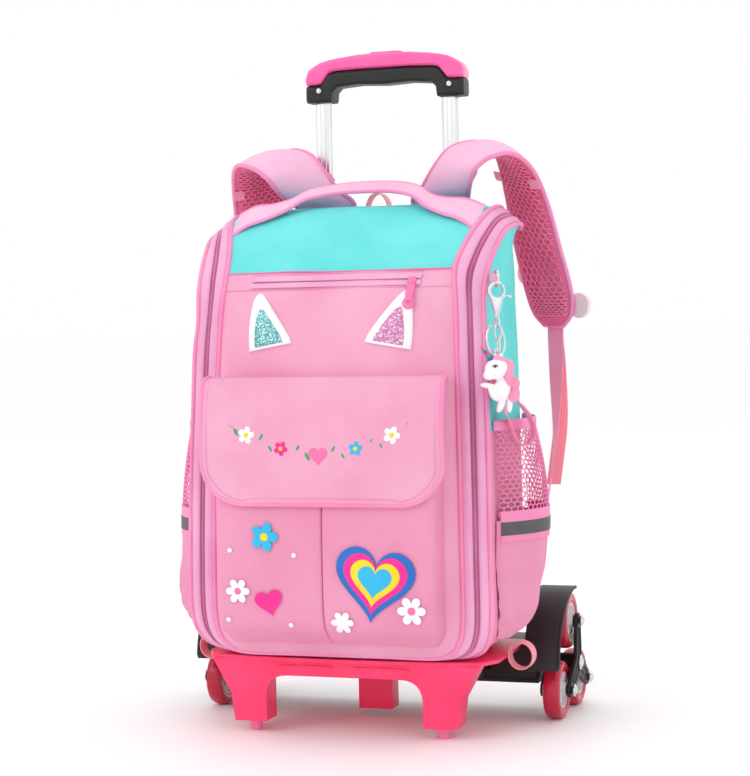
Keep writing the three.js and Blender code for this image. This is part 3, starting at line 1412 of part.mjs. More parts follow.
function wheel() {
  const bore = pinDiameter / 2 + pinFit;
  const half = wheelProfile.map(([out, along]) => [mix(bore, wheelRadius, out), (along * wheelWidth) / 2]);
  const points = [...half.map(([r, x]) => [r, -x]), ...half.reverse(), [bore, -wheelWidth / 2]];
  const geometry = new THREE.LatheGeometry(points.map(([r, x]) => new THREE.Vector2(r, x)), 13);
  return geometry.rotateZ(Math.PI / 2);
}
for (const [hand, side] of [[1, "right"], [-1, "left"]]) {
  for (const { name, y, z } of wheelPlaces) {
    addPart(`wheel_${side}_${name}`, wheel(), wheelRed, V(hand * wheelX, y, z));
  }
}

export default bag;
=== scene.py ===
import json
import math

import bmesh
import bpy
import numpy as np
from mathutils import Matrix, Vector, noise


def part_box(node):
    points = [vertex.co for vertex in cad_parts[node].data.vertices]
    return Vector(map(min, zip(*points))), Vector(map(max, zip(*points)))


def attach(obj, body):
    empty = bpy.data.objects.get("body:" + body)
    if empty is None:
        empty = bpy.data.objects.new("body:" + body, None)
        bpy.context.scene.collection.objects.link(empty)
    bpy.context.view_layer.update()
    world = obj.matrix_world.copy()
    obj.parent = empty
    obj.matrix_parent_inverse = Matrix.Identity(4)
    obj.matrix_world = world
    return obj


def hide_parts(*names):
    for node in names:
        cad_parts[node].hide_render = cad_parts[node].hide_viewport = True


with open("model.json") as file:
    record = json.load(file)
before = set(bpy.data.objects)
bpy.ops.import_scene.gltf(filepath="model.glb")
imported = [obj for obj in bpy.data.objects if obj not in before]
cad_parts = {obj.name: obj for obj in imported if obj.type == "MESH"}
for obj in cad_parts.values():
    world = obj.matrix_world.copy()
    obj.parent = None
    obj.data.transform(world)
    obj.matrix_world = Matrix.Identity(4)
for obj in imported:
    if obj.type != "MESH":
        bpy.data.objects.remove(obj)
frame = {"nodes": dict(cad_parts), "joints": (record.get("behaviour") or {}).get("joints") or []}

# A child's wheeled school backpack. Places are in millimetres from the pull tubes, as on a drawing:
# X to the right, Y back, Z up from the floor. to_frame turns them into the frame's metres.
MM = 0.001
BAG = "bag_and_frame"
STAR_Y = -10  # wheel stars' axle, from the pull tubes
star_joint = next(j for j in frame["joints"] if j["name"] == "star_right_turn")
TUBES_Y = star_joint["pos_m"][1] / MM - STAR_Y  # pull tubes behind the middle of the footprint
scene = bpy.context.scene
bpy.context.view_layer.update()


def to_frame(points):
    return (np.asarray(points, float) + (0, TUBES_Y, 0)) * MM


def span(node):
    """Lowest and highest corner of a CAD node, in millimetres from the pull tubes."""
    low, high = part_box(node)
    return [np.array(corner) / MM - (0, TUBES_Y, 0) for corner in (low, high)]


# Camera, lights and floor
CAMERA_AT = (700.47, -2160.48, 446.97)
CAMERA_YAW, CAMERA_PITCH, CAMERA_ROLL = 18.48, 2.32, -1.24  # degrees
CAMERA_LENS = 93.98
SENSOR_WIDE = 36
LIGHT_AIM = Vector((0, 0, 0.35))  # metres; the middle of the bag
FLOOR_REACH = 30  # metres


def linked(name, data):
    """A new object in the scene that shows the data."""
    made = bpy.data.objects.new(name, data)
    scene.collection.objects.link(made)
    return made


def add_camera():
    yaw, pitch, roll = (math.radians(a) for a in (CAMERA_YAW, CAMERA_PITCH, CAMERA_ROLL))
    back = Vector((math.sin(yaw) * math.cos(pitch), -math.cos(yaw) * math.cos(pitch), math.sin(pitch)))
    level = Vector((math.cos(yaw), math.sin(yaw), 0))
    up = back.cross(level)
    right = level * math.cos(roll) + up * math.sin(roll)
    top = up * math.cos(roll) - level * math.sin(roll)
    data = bpy.data.cameras.new("camera")
    data.lens = CAMERA_LENS
    data.sensor_width = SENSOR_WIDE
    data.clip_start, data.clip_end = 0.05, 60
    scene.camera = linked("camera", data)
    turn = Matrix((right, top, back)).transposed().to_4x4()
    scene.camera.matrix_world = Matrix.Translation(to_frame(CAMERA_AT)) @ turn


def add_light(name, at, size, power):
    data = bpy.data.lights.new(name, "AREA")
    data.shape, data.size, data.energy = "SQUARE", size, power
    light = linked(name, data)
    light.location = at
    light.rotation_euler = (LIGHT_AIM - Vector(at)).to_track_quat("-Z", "Y").to_euler()


add_camera()
add_light("key softbox", (-2.0, -2.6, 2.4), 1.8, 20)
add_light("fill softbox", (2.6, -2.0, 1.5), 2.2, 5)
add_light("top softbox", (0, 0.4, 3.0), 2.4, 7)
add_light("back softbox", (0.6, 2.6, 1.6), 2.0, 5)
scene.view_settings.view_transform = "Standard"


# Materials
def linear(code):
    """A colour's sRGB hex value as linear RGBA."""
    parts = [int(code[k:k + 2], 16) / 255 for k in (1, 3, 5)]
    return tuple(c / 12.92 if c <= 0.04045 else ((c + 0.055) / 1.055) ** 2.4 for c in parts) + (1,)


def add_node(tree, kind, links=None, **settings):
    """Adds a node with its settings. links gives an input a value, or another node's output."""
    node = tree.nodes.new(kind)
    for key, value in settings.items():
        setattr(node, key, value)
    for key, value in (links or {}).items():
        if isinstance(value, bpy.types.NodeSocket):
            tree.links.new(value, node.inputs[key])
        else:
            node.inputs[key].default_value = value
    return node


def new_material(name, roughness, metallic=0.0):
    made = bpy.data.materials.new(name)
    made.use_nodes = True
    tree = made.node_tree
    surface = tree.nodes["Principled BSDF"]
    surface.inputs["Roughness"].default_value = roughness
    surface.inputs["Metallic"].default_value = metallic
    return made, tree, surface


def mottled(tree, vector, low, high, size):
    """A colour between two hex values in soft patches of a size in millimetres."""
    scale = 1 / (size * MM)
    patches = add_node(tree, "ShaderNodeTexNoise", {"Vector": vector, "Scale": scale, "Detail": 3.0})
    ramp = add_node(tree, "ShaderNodeValToRGB", {"Fac": patches.outputs["Fac"]})
    ramp.color_ramp.elements[0].color, ramp.color_ramp.elements[1].color = linear(low), linear(high)
    ramp.color_ramp.elements[0].position, ramp.color_ramp.elements[1].position = 0.3, 0.7
    return ramp.outputs["Color"]


def bump_from(tree, height, depth, surface):
    """A bump of a depth in millimetres on the surface."""
    made = add_node(tree, "ShaderNodeBump", {"Height": height, "Distance": depth * MM, "Strength": 1.0})
    tree.links.new(made.outputs["Normal"], surface.inputs["Normal"])


def woven(name, dark, light, thread, roughness=0.72, depth=0.12, sheen=0.35):
    """Woven polyester: two crossing sets of threads that follow the cloth, a soft sheen and faint patches."""
    made, tree, surface = new_material(name, roughness)
    surface.inputs["Sheen Weight"].default_value = sheen
    surface.inputs["Sheen Roughness"].default_value = 0.4
    surface.inputs["Sheen Tint"].default_value = linear(light)
    place = add_node(tree, "ShaderNodeUVMap", uv_map="cloth").outputs["UV"]
    bands = []
    for direction in ("X", "Y"):
        wave = add_node(
            tree, "ShaderNodeTexWave",
            {"Vector": place, "Scale": math.pi / (10 * thread * MM), "Distortion": 0.6, "Detail Scale": 2.0},
            bands_direction=direction,
        )
        bands.append(wave.outputs["Fac"])
    weave = add_node(tree, "ShaderNodeMath", {0: bands[0], 1: bands[1]}, operation="MAXIMUM").outputs[0]
    rest = add_node(tree, "ShaderNodeTexCoord").outputs["Object"]
    patches = mottled(tree, rest, dark, light, 90)
    shade = add_node(tree, "ShaderNodeMapRange", {"Value": weave, "To Min": 0.94, "To Max": 1.02}).outputs[0]
    color = add_node(tree, "ShaderNodeVectorMath", {0: patches, 1: shade}, operation="MULTIPLY").outputs[0]
    tree.links.new(color, surface.inputs["Base Color"])
    bump_from(tree, weave, depth, surface)
    return made


def grained(tree, vector, size, surface, roughness, low, high):
    """A fine grain of a size in millimetres, which varies the roughness between two shares of it."""
    grain = add_node(tree, "ShaderNodeTexNoise", {"Vector": vector, "Scale": 1 / (size * MM), "Detail": 2.0})
    ends = {"Value": grain.outputs["Fac"], "To Min": roughness * low, "To Max": roughness * high}
    tree.links.new(add_node(tree, "ShaderNodeMapRange", ends).outputs[0], surface.inputs["Roughness"])
    return grain.outputs["Fac"]


def moulded(name, dark, light, roughness, grain=1.2, depth=0.02):
    """Moulded plastic: an even colour with faint clouds, and a fine grain from its mould."""
    made, tree, surface = new_material(name, roughness)
    rest = add_node(tree, "ShaderNodeTexCoord").outputs["Object"]
    tree.links.new(mottled(tree, rest, dark, light, 40), surface.inputs["Base Color"])
    bump_from(tree, grained(tree, rest, grain, surface, roughness, 0.85, 1.2), depth, surface)
    return made


def metal(name, color, roughness, across=None):
    """Bare metal with a faint drawn grain along Z, or an even polish."""
    made, tree, surface = new_material(name, roughness, 1.0)
    rest = add_node(tree, "ShaderNodeTexCoord").outputs["Object"]
    stretch = (1, 1, 0.02) if across else (1, 1, 1)
    drawn = add_node(tree, "ShaderNodeMapping", {"Vector": rest, "Scale": stretch}).outputs[0]
    grained(tree, drawn, 1.5, surface, roughness, 0.8, 1.3)
    tree.links.new(mottled(tree, drawn, color, color, 10), surface.inputs["Base Color"])
    return made


def ribbed(name, dark, light, rib):
    """Woven webbing: ribs across the run, with the two selvedges of each thread row."""
    made, tree, surface = new_material(name, 0.7)
    surface.inputs["Sheen Weight"].default_value = 0.3
    place = add_node(tree, "ShaderNodeUVMap", uv_map="cloth").outputs["UV"]
    bands = {}
    for k, (direction, pitch, bend) in enumerate((("Y", 10 * rib, 1.0), ("X", 20 * rib, 0.5))):
        links = {"Vector": place, "Scale": math.pi / (pitch * MM), "Distortion": bend}
        wave = add_node(tree, "ShaderNodeTexWave", links, bands_direction=direction)
        bands[k] = wave.outputs["Fac"]
    height = add_node(tree, "ShaderNodeMath", bands, operation="MULTIPLY").outputs[0]
    mix = add_node(tree, "ShaderNodeMix", {"Factor": height}, data_type="RGBA")
    mix.inputs[6].default_value, mix.inputs[7].default_value = linear(dark), linear(light)
    tree.links.new(mix.outputs[2], surface.inputs["Base Color"])
    bump_from(tree, height, 0.25, surface)
    return made


def glittered(name, dark, light, painted_glint):
    """Glitter cloth: flakes of half a millimetre, drawn at 1.1 mm to show, each tilted its own way; their
    tones differ at random, and the lightest turn near white as painted glints.
    """
    made, tree, surface = new_material(name, 0.35, 0.35)
    rest = add_node(tree, "ShaderNodeTexCoord").outputs["Object"]
    flakes = add_node(tree, "ShaderNodeTexVoronoi", {"Vector": rest, "Scale": 1 / (1.1 * MM)})
    tone = add_node(tree, "ShaderNodeSeparateColor", {"Color": flakes.outputs["Color"]})
    ramp = add_node(tree, "ShaderNodeValToRGB", {"Fac": tone.outputs[0]})
    ramp.color_ramp.elements[0].color, ramp.color_ramp.elements[1].color = linear(dark), linear(light)
    ramp.color_ramp.elements[1].position = 0.75
    # painted highlight: the lightest flakes blend into a near-white glint colour
    ramp.color_ramp.elements.new(0.9).color = linear(painted_glint)
    tree.links.new(ramp.outputs["Color"], surface.inputs["Base Color"])
    bump_from(tree, tone.outputs[1], 0.35, surface)
    return made


PINK = woven("woven polyester, pink", "#EC9CBD", "#F3B1CE", 0.9)
PINK_LOW = woven("woven polyester, rose", "#E78EB2", "#EE9DBE", 0.9)
PALE = woven("woven polyester, pale pink", "#F9B6D8", "#FDC6E2", 0.9, sheen=0.5)
BAND = woven("zip tape, lilac pink", "#E79CC6", "#F3B2D6", 0.8, roughness=0.5)
AQUA = woven("woven polyester, turquoise", "#52D3D2", "#72E6E4", 0.9)
WHITE = woven("coated cloth, white", "#EFE9EE", "#FCF9FC", 0.8, depth=0.05)
CORD = woven("piping binding, pink", "#EF86B6", "#F79CC6", 0.7, depth=0.06)
NET = moulded("knitted spacer net, coral pink", "#F2749C", "#F98BAF", 0.7, depth=0.05)
NET_PALE = moulded("knitted pocket net, pink", "#EC7FAE", "#F595BF", 0.7, depth=0.05)
FOAM = woven("net backing, deep coral", "#E85C8C", "#F2729E", 1.2)
TAPE = ribbed("webbing, pale pink", "#F391B4", "#FBA9C4", 1.6)
CORAL = ribbed("webbing, coral", "#FA93A2", "#FFAAB4", 1.6)
GREY = moulded("reflective tape, grey glass beads", "#48454A", "#57545A", 0.5, grain=0.6, depth=0.05)
THREAD = moulded("sewing thread, deep pink", "#DE6CA2", "#E87FB0", 0.6)
COIL = moulded("nylon zip coil, rose", "#D877A6", "#E68DB8", 0.45)
# painted shade: a dark rose for the shaded gaps on each side of the zip coil
GROOVE_SHADE = moulded("painted shade in the zip's grooves, dark rose", "#A8507F", "#B9608E", 0.7)
PULL = moulded("soft zip pull, pink", "#EE6FA9", "#F583B7", 0.4)
# the third colour of each glitter is its painted glint
TEAL_GLITTER = glittered("glitter cloth, teal", "#3E8E93", "#79C3C4", "#E6FFFF")
ROSE_GLITTER = glittered("glitter cloth, rose", "#B86AA2", "#E79CC8", "#FFF0FA")
ALUMINIUM = metal("anodised aluminium, satin", "#E4E6E8", 0.24, across=True)
STEEL = metal("plated steel, polished", "#D9DADC", 0.14)
BLACK = moulded("polypropylene, black", "#0C0A0B", "#151213", 0.46, grain=0.9, depth=0.03)
GRIP = moulded("ABS, glossy pink", "#FC5AA3", "#FF6AAF", 0.2, depth=0.008)
TRAY = moulded("polypropylene, hot pink", "#FB2C66", "#FF4076", 0.36, grain=1.0, depth=0.015)
TYRE = moulded("polyurethane tyre, red", "#B01030", "#C91C42", 0.26, depth=0.01)
HUB = moulded("nylon hub, light grey", "#C9C3C8", "#DCD8DC", 0.4)
CLEAR = moulded("clip plastic, milky pink", "#F6CBD6", "#FBDDE4", 0.22, depth=0.01)
TOY_WHITE = moulded("soft vinyl, white", "#F4EEF2", "#FDFAFC", 0.4, depth=0.01)
TOY_PINK = moulded("soft vinyl, pink", "#F490B8", "#FAA5C8", 0.42, depth=0.01)
TOY_INK = moulded("printed ink, black", "#141216", "#1E1B20", 0.35, depth=0.0)
PRINT = {
    ink: moulded(f"screen print, {ink}", dark, light, 0.5, depth=0.01)
    for ink, dark, light in (
        ("white", "#F3EEF4", "#FBF8FC"), ("cyan", "#22B2E2", "#2CBDEB"), ("blue", "#1467BE", "#1C70C8"),
        ("magenta", "#F51A8E", "#FC2A99"), ("yellow", "#FBD40F", "#FFDD22"), ("rose", "#EC6FA8", "#F27BB2"),
        ("green", "#2BA35C", "#35B068"),
    )
}
FLOOR, _, floor_surface = new_material("studio floor, white paper", 0.6)
floor_surface.inputs["Base Color"].default_value = linear("#FFFFFF")


def add_floor():
    mesh = bpy.data.meshes.new("floor")
    corners = [(x * FLOOR_REACH, y * FLOOR_REACH, 0) for x, y in ((-1, -1), (1, -1), (1, 1), (-1, 1))]
    mesh.from_pydata(corners, [], [(0, 1, 2, 3)])
    mesh.materials.append(FLOOR)
    floor = linked("floor", mesh)


def add_world():
    """An even white background, and a softer white light from all round."""
    world = bpy.data.worlds.new("studio")
    world.use_nodes = True
    tree = world.node_tree
    white = tree.nodes["Background"]
    white.inputs["Color"].default_value = (1, 1, 1, 1)
    seen = add_node(tree, "ShaderNodeLightPath").outputs["Is Camera Ray"]
    strength = add_node(tree, "ShaderNodeMapRange", {"Value": seen, "To Min": 0.99, "To Max": 1.0})
    tree.links.new(strength.outputs[0], white.inputs["Strength"])
    scene.world = world


add_floor()
add_world()


# Meshes
SIDES = (("right", 1), ("left", -1))


def settle(piece, body=BAG, node=None):
    """Hangs a piece on the empty of the body it rides on, and hides the CAD node in whose place it is, if
    any.
    """
    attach(piece, body)
    if node:
        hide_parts(node)
    return piece


def turn_out(mesh):
    """Turns all faces of a mesh outwards."""
    shape = bmesh.new()
    shape.from_mesh(mesh)
    bmesh.ops.recalc_face_normals(shape, faces=shape.faces)
    shape.to_mesh(mesh)
    shape.free()


def dress(mesh, materials):
    for made in materials if isinstance(materials, (list, tuple)) else [materials]:
        mesh.materials.append(made)


def add_piece(name, shape, materials, slot, node=None, sharp=35, body=BAG, kinds=None):
    """A closed (points, faces, uvs) shape in millimetres. kinds is each face's material index."""
    points, faces, uvs = shape
    mesh = bpy.data.meshes.new(name)
    mesh.from_pydata(to_frame(points).tolist(), [], [tuple(int(k) for k in f) for f in faces])
    dress(mesh, materials)
    if kinds is not None:
        mesh.polygons.foreach_set("material_index", np.asarray(kinds, np.int32))
    layer = mesh.uv_layers.new(name="cloth")
    corners = np.empty(len(mesh.loops), np.int32)
    mesh.loops.foreach_get("vertex_index", corners)
    layer.data.foreach_set("uv", (np.asarray(uvs, float)[corners] * MM).ravel())
    turn_out(mesh)
    mesh.shade_smooth()
    mesh.set_sharp_from_angle(angle=math.radians(sharp))
    return settle(linked(name, mesh), body, node)


def joined(parts):
    """Several (points, faces, uvs, kind) shapes as one (points, faces, uvs) shape and its faces' kinds."""
    points, faces, uvs, kinds, start = [], [], [], [], 0
    for shape, shape_faces, shape_uvs, kind in parts:
        points.append(np.asarray(shape, float))
        uvs.append(np.asarray(shape_uvs, float))
        faces += [[k + start for k in f] for f in shape_faces]
        kinds += [kind] * len(shape_faces)
        start += len(shape)
    return (np.concatenate(points), faces, np.concatenate(uvs)), kinds


def add_joined(name, parts, materials, slot, **settings):
    """Several (points, faces, uvs, kind) shapes as one piece; kind is a shape's place in the materials."""
    shape, kinds = joined(parts)
    return add_piece(name, shape, materials, slot, kinds=kinds, **settings)


def spline(rows, count, closed=False):
    """A smooth curve through rows of numbers, sampled evenly between them."""
    rows = np.asarray(rows, float)
    if closed:
        padded = np.concatenate([rows[-1:], rows, rows[:2]])
        t = np.linspace(0, len(rows), count, endpoint=False)
        i = np.minimum(t.astype(int), len(rows) - 1)
    else:
        padded = np.concatenate([[2 * rows[0] - rows[1]], rows, [2 * rows[-1] - rows[-2]]])
        t = np.linspace(0, len(rows) - 1, count)
        i = np.minimum(t.astype(int), len(rows) - 2)
    f = (t - i).reshape((-1,) + (1,) * (rows.ndim - 1))
    a, b, c, d = (padded[i + k] for k in range(4))
    return 0.5 * (2 * b + (c - a) * f + (2 * a - 5 * b + 4 * c - d) * f**2 + (3 * b - a - 3 * c + d) * f**3)


def unit(vectors):
    vectors = np.asarray(vectors, float)
    return vectors / np.maximum(np.linalg.norm(vectors, axis=-1, keepdims=True), 1e-9)


def run_lengths(points):
    steps = np.linalg.norm(np.diff(points, axis=0), axis=-1)
    return np.concatenate([[0], np.cumsum(steps)])


def loft(rings, closed=False):
    """Points and faces of a body through rings of equal length, with a fan at each end unless it closes."""
    rings = np.asarray(rings, float)
    count, sides = rings.shape[:2]
    points = rings.reshape(-1, 3)
    faces = []
    for i in range(count if closed else count - 1):
        j = (i + 1) % count
        for k in range(sides):
            m = (k + 1) % sides
            faces.append([i * sides + k, i * sides + m, j * sides + m, j * sides + k])
    if not closed:
        for i in (0, count - 1):
            hub = len(points)
            points = np.concatenate([points, [rings[i].mean(0)]])
            faces += [[i * sides + k, i * sides + (k + 1) % sides, hub] for k in range(sides)]
    return points, faces


def lofted(rings, uvs, closed=False):
    """A loft as a (points, faces, uvs) shape; the uvs are those of its rings."""
    points, faces = loft(rings, closed)
    return points, faces, np.concatenate([uvs, np.zeros((len(points) - len(uvs), 2))])


def cloth_grid(grid, thickness, toward):
    """A cloth wall on a grid of points: outer points, inner points towards a place, and a rim."""
    grid = np.asarray(grid, float)
    rows, columns = grid.shape[:2]
    normals = unit(np.cross(np.gradient(grid, axis=0), np.gradient(grid, axis=1)))
    middle = (rows // 2, columns // 2)
    if normals[middle] @ (np.asarray(toward, float) - grid[middle]) < 0:
        normals = -normals
    points = np.concatenate([grid.reshape(-1, 3), (grid + normals * thickness).reshape(-1, 3)])
    count = rows * columns
    index = np.arange(count).reshape(rows, columns)
    faces = []
    for i in range(rows - 1):
        for j in range(columns - 1):
            a, b, c, d = index[i, j], index[i + 1, j], index[i + 1, j + 1], index[i, j + 1]
            faces += [[a, b, c, d], [count + a, count + d, count + c, count + b]]
    rim = [*index[0], *index[1:, -1], *index[-1, -2::-1], *index[-2:0:-1, 0]]
    for p, q in zip(rim, rim[1:] + rim[:1]):
        faces.append([p, q, count + q, count + p])
    across = np.cumsum(np.linalg.norm(np.diff(grid, axis=1, prepend=grid[:, :1]), axis=-1), axis=1)
    down = np.cumsum(np.linalg.norm(np.diff(grid, axis=0, prepend=grid[:1]), axis=-1), axis=0)
    uvs = np.stack([across - across[:, -1:] / 2, down[:, columns // 2, None].repeat(columns, 1)], -1)
    return points, faces, np.concatenate([uvs.reshape(-1, 2)] * 2)


def all_round(count):
    """Angles evenly round a full turn."""
    return np.linspace(0, 2 * math.pi, count, endpoint=False)


def oval(half_wide, half_tall, count=40):
    """Points of an upright oval in X and Z."""
    angles = all_round(count)
    return np.stack([half_wide * np.cos(angles), 0 * angles, half_tall * np.sin(angles)], -1)


def tangents_of(path, closed=False):
    return unit(np.roll(path, -1, 0) - np.roll(path, 1, 0) if closed else np.gradient(path, axis=0))


def tube(path, radius, sides=10, closed=False):
    """A round tube. radius is one number or one for each point."""
    path = np.asarray(path, float)
    tangents = tangents_of(path, closed)
    side = np.cross((0, 0, 1) if abs(tangents[0][2]) < 0.9 else (1, 0, 0), tangents[0])
    across = []
    for tangent in tangents:
        side = unit(side - tangent * (side @ tangent))
        across.append(side)
    across = np.array(across)
    up = np.cross(tangents, across)
    angles = all_round(sides)
    radii = np.broadcast_to(np.asarray(radius, float), len(path))[:, None, None]
    rings = path[:, None] + radii * (
        across[:, None] * np.cos(angles)[:, None] + up[:, None] * np.sin(angles)[:, None]
    )
    along = np.repeat(run_lengths(path), sides)
    around = np.tile(angles * float(np.mean(radii)), len(path))
    return lofted(rings, np.stack([around, along], -1), closed)


def strap_rings(stations, corner=0.35, sides=24, closed=False):
    """Rings of a strap through stations (place, across, width, wall); corner is how round its edges are."""
    places = np.array([s[0] for s in stations], float)
    across = unit([s[1] for s in stations])
    width = np.array([s[2] for s in stations], float)[:, None] / 2
    wall = np.array([s[3] for s in stations], float)[:, None] / 2
    normals = unit(np.cross(tangents_of(places, closed), across))
    angles = all_round(sides)
    power = 2 * corner
    u = np.sign(np.cos(angles)) * np.abs(np.cos(angles)) ** power
    v = np.sign(np.sin(angles)) * np.abs(np.sin(angles)) ** power
    rings = places[:, None] + across[:, None] * (width * u)[..., None]
    rings = rings + normals[:, None] * (wall * v)[..., None]
    along = run_lengths(places)
    uvs = np.stack([width * u, np.repeat(along[:, None], sides, 1)], -1)
    return rings, uvs.reshape(-1, 2), normals, v


def strap(stations, corner=0.35, closed=False):
    rings, uvs, _, _ = strap_rings(stations, corner, closed=closed)
    return lofted(rings, uvs, closed)


def flipped(shape):
    """The same shape on the other side of the bag."""
    points, *rest = shape
    return (np.asarray(points) * (-1, 1, 1), *rest)


def add_pair(name, shape, materials, slot, node=None, **settings):
    """A right piece and its mirror image on the left, each in its node's place if one is named."""
    pieces = []
    for side, made in (("right", shape), ("left", flipped(shape))):
        own = f"{node}_{side}" if node else None
        pieces.append(add_piece(f"{name}_{side}_cloth", made, materials, slot, node=own, **settings))
    return pieces


def ripple(points, size, height, seed=0.0):
    """Soft unevenness of cloth: a height for each point, in patches of a size in millimetres."""
    flat = np.asarray(points, float).reshape(-1, 3) / size
    values = [noise.noise(Vector((x + seed, y - seed, z))) for x, y, z in flat]
    return height * np.array(values).reshape(np.asarray(points).shape[:-1])


# Repeats and nets, by node trees
def new_tree(name, source, sizes, made):
    """A tree with its named inputs and its output, and the lines of its source mesh as curves."""
    tree = bpy.data.node_groups.new(name, "GeometryNodeTree")
    sockets = tree.interface
    sockets.new_socket(source, in_out="INPUT", socket_type="NodeSocketGeometry")
    for title, value in sizes.items():
        sockets.new_socket(title, in_out="INPUT", socket_type="NodeSocketFloat").default_value = value
    sockets.new_socket("Material", in_out="INPUT", socket_type="NodeSocketMaterial")
    sockets.new_socket(made, in_out="OUTPUT", socket_type="NodeSocketGeometry")
    given = add_node(tree, "NodeGroupInput").outputs
    return tree, given, add_node(tree, "GeometryNodeMeshToCurve", {"Mesh": given[source]}).outputs[0]


def finish_tree(tree, given, grown_part, made):
    """Makes real what a tree has grown, smooth and of the given material."""
    real = add_node(tree, "GeometryNodeRealizeInstances", {"Geometry": grown_part})
    smooth = add_node(tree, "GeometryNodeSetShadeSmooth", {0: real.outputs[0]})
    look = {"Geometry": smooth.outputs[0], "Material": given["Material"]}
    dressed = add_node(tree, "GeometryNodeSetMaterial", look)
    add_node(tree, "NodeGroupOutput", {made: dressed.outputs[0]})
    return tree


def repeat_tree():
    """Beads along a path, each turned with it: stitches and zip teeth."""
    sizes = {"Pitch": 0.003, "Length": 0.002, "Width": 0.0008, "Height": 0.0006}
    tree, given, line = new_tree("row_along_seam", "Path", sizes, "Row")
    steps = {"Curve": line, "Length": given["Pitch"]}
    even = add_node(tree, "GeometryNodeResampleCurve", steps, mode="LENGTH")
    bead = add_node(tree, "GeometryNodeMeshUVSphere", {"Segments": 8, "Rings": 5, "Radius": 0.5})
    tangent = add_node(tree, "GeometryNodeInputTangent")
    up = add_node(tree, "GeometryNodeInputNamedAttribute", {"Name": "up"}, data_type="FLOAT_VECTOR")
    turn = add_node(
        tree, "FunctionNodeAxesToRotation",
        {"Primary Axis": up.outputs["Attribute"], "Secondary Axis": tangent.outputs[0]},
        primary_axis="Z", secondary_axis="X",
    )
    size = add_node(
        tree, "ShaderNodeCombineXYZ", {"X": given["Length"], "Y": given["Width"], "Z": given["Height"]},
    )
    where = {"Points": even.outputs[0], "Rotation": turn.outputs[0], "Scale": size.outputs[0]}
    placed = add_node(tree, "GeometryNodeInstanceOnPoints", {"Instance": bead.outputs["Mesh"], **where})
    return finish_tree(tree, given, placed.outputs[0], "Row")


def strand_tree():
    """Strands of a net: each edge of a mesh becomes a round strand."""
    tree, given, line = new_tree("net_strands", "Cells", {"Strand": 0.001}, "Net")
    ring = add_node(tree, "GeometryNodeCurvePrimitiveCircle", {"Resolution": 5, "Radius": given["Strand"]})
    strand = add_node(
        tree, "GeometryNodeCurveToMesh",
        {"Curve": line, "Profile Curve": ring.outputs["Curve"], "Fill Caps": True},
    )
    return finish_tree(tree, given, strand.outputs[0], "Net")


ROW = repeat_tree()
STRANDS = strand_tree()


def grown(name, source, tree, inputs, node=None):
    """A source mesh grown by a node tree into a plain mesh."""
    holder = linked(name, source)
    modifier = holder.modifiers.new("grow", "NODES")
    modifier.node_group = tree
    for item in tree.interface.items_tree:
        if item.item_type == "SOCKET" and item.in_out == "INPUT" and item.name in inputs:
            modifier[item.identifier] = inputs[item.name]
    graph = bpy.context.evaluated_depsgraph_get()
    mesh = bpy.data.meshes.new_from_object(holder.evaluated_get(graph))
    mesh.name = name
    holder.modifiers.remove(modifier)
    holder.data = mesh
    return settle(holder, node=node)


def seam_row(name, paths, material, pitch=3.2, length=2.3, width=0.8, height=0.6):
    """A row of stitches or teeth along paths; each path is (points, the way out of the cloth)."""
    points, edges, ups, start = [], [], [], 0
    for path, up in paths:
        path = np.asarray(path, float)
        points.append(path)
        ups.append(np.broadcast_to(np.asarray(up, float), path.shape))
        edges += [(start + k, start + k + 1) for k in range(len(path) - 1)]
        start += len(path)
    mesh = bpy.data.meshes.new(name)
    mesh.from_pydata(to_frame(np.concatenate(points)).tolist(), edges, [])
    up = mesh.attributes.new("up", "FLOAT_VECTOR", "POINT")
    up.data.foreach_set("vector", unit(np.concatenate(ups)).ravel())
    sizes = {"Pitch": pitch * MM, "Length": length * MM, "Width": width * MM, "Height": height * MM}
    return grown(name, mesh, ROW, {**sizes, "Material": material})


def net_piece(name, place, columns, rows, strand, material, node=None):
    """A net of staggered six-sided cells; place gives a point for shares across and along."""
    points, edges, index = [], [], {}

    def corner(i, j):
        if (i, j) not in index:
            index[(i, j)] = len(points)
            nudge = (1 / 6 if (i + j) % 2 else -1 / 6) / rows
            u, v = i / columns, min(max(j / rows + nudge, 0), 1)
            points.append(place(u, v))
        return index[(i, j)]

    for i in range(columns + 1):
        for j in range(rows + 1):
            if i < columns:
                edges.append((corner(i, j), corner(i + 1, j)))
            if j < rows and (i + j) % 2:
                edges.append((corner(i, j), corner(i, j + 1)))
    mesh = bpy.data.meshes.new(name)
    mesh.from_pydata(to_frame(points).tolist(), edges, [])
    inputs = {"Strand": strand * MM, "Material": material}
    return grown(name, mesh, STRANDS, inputs, node)


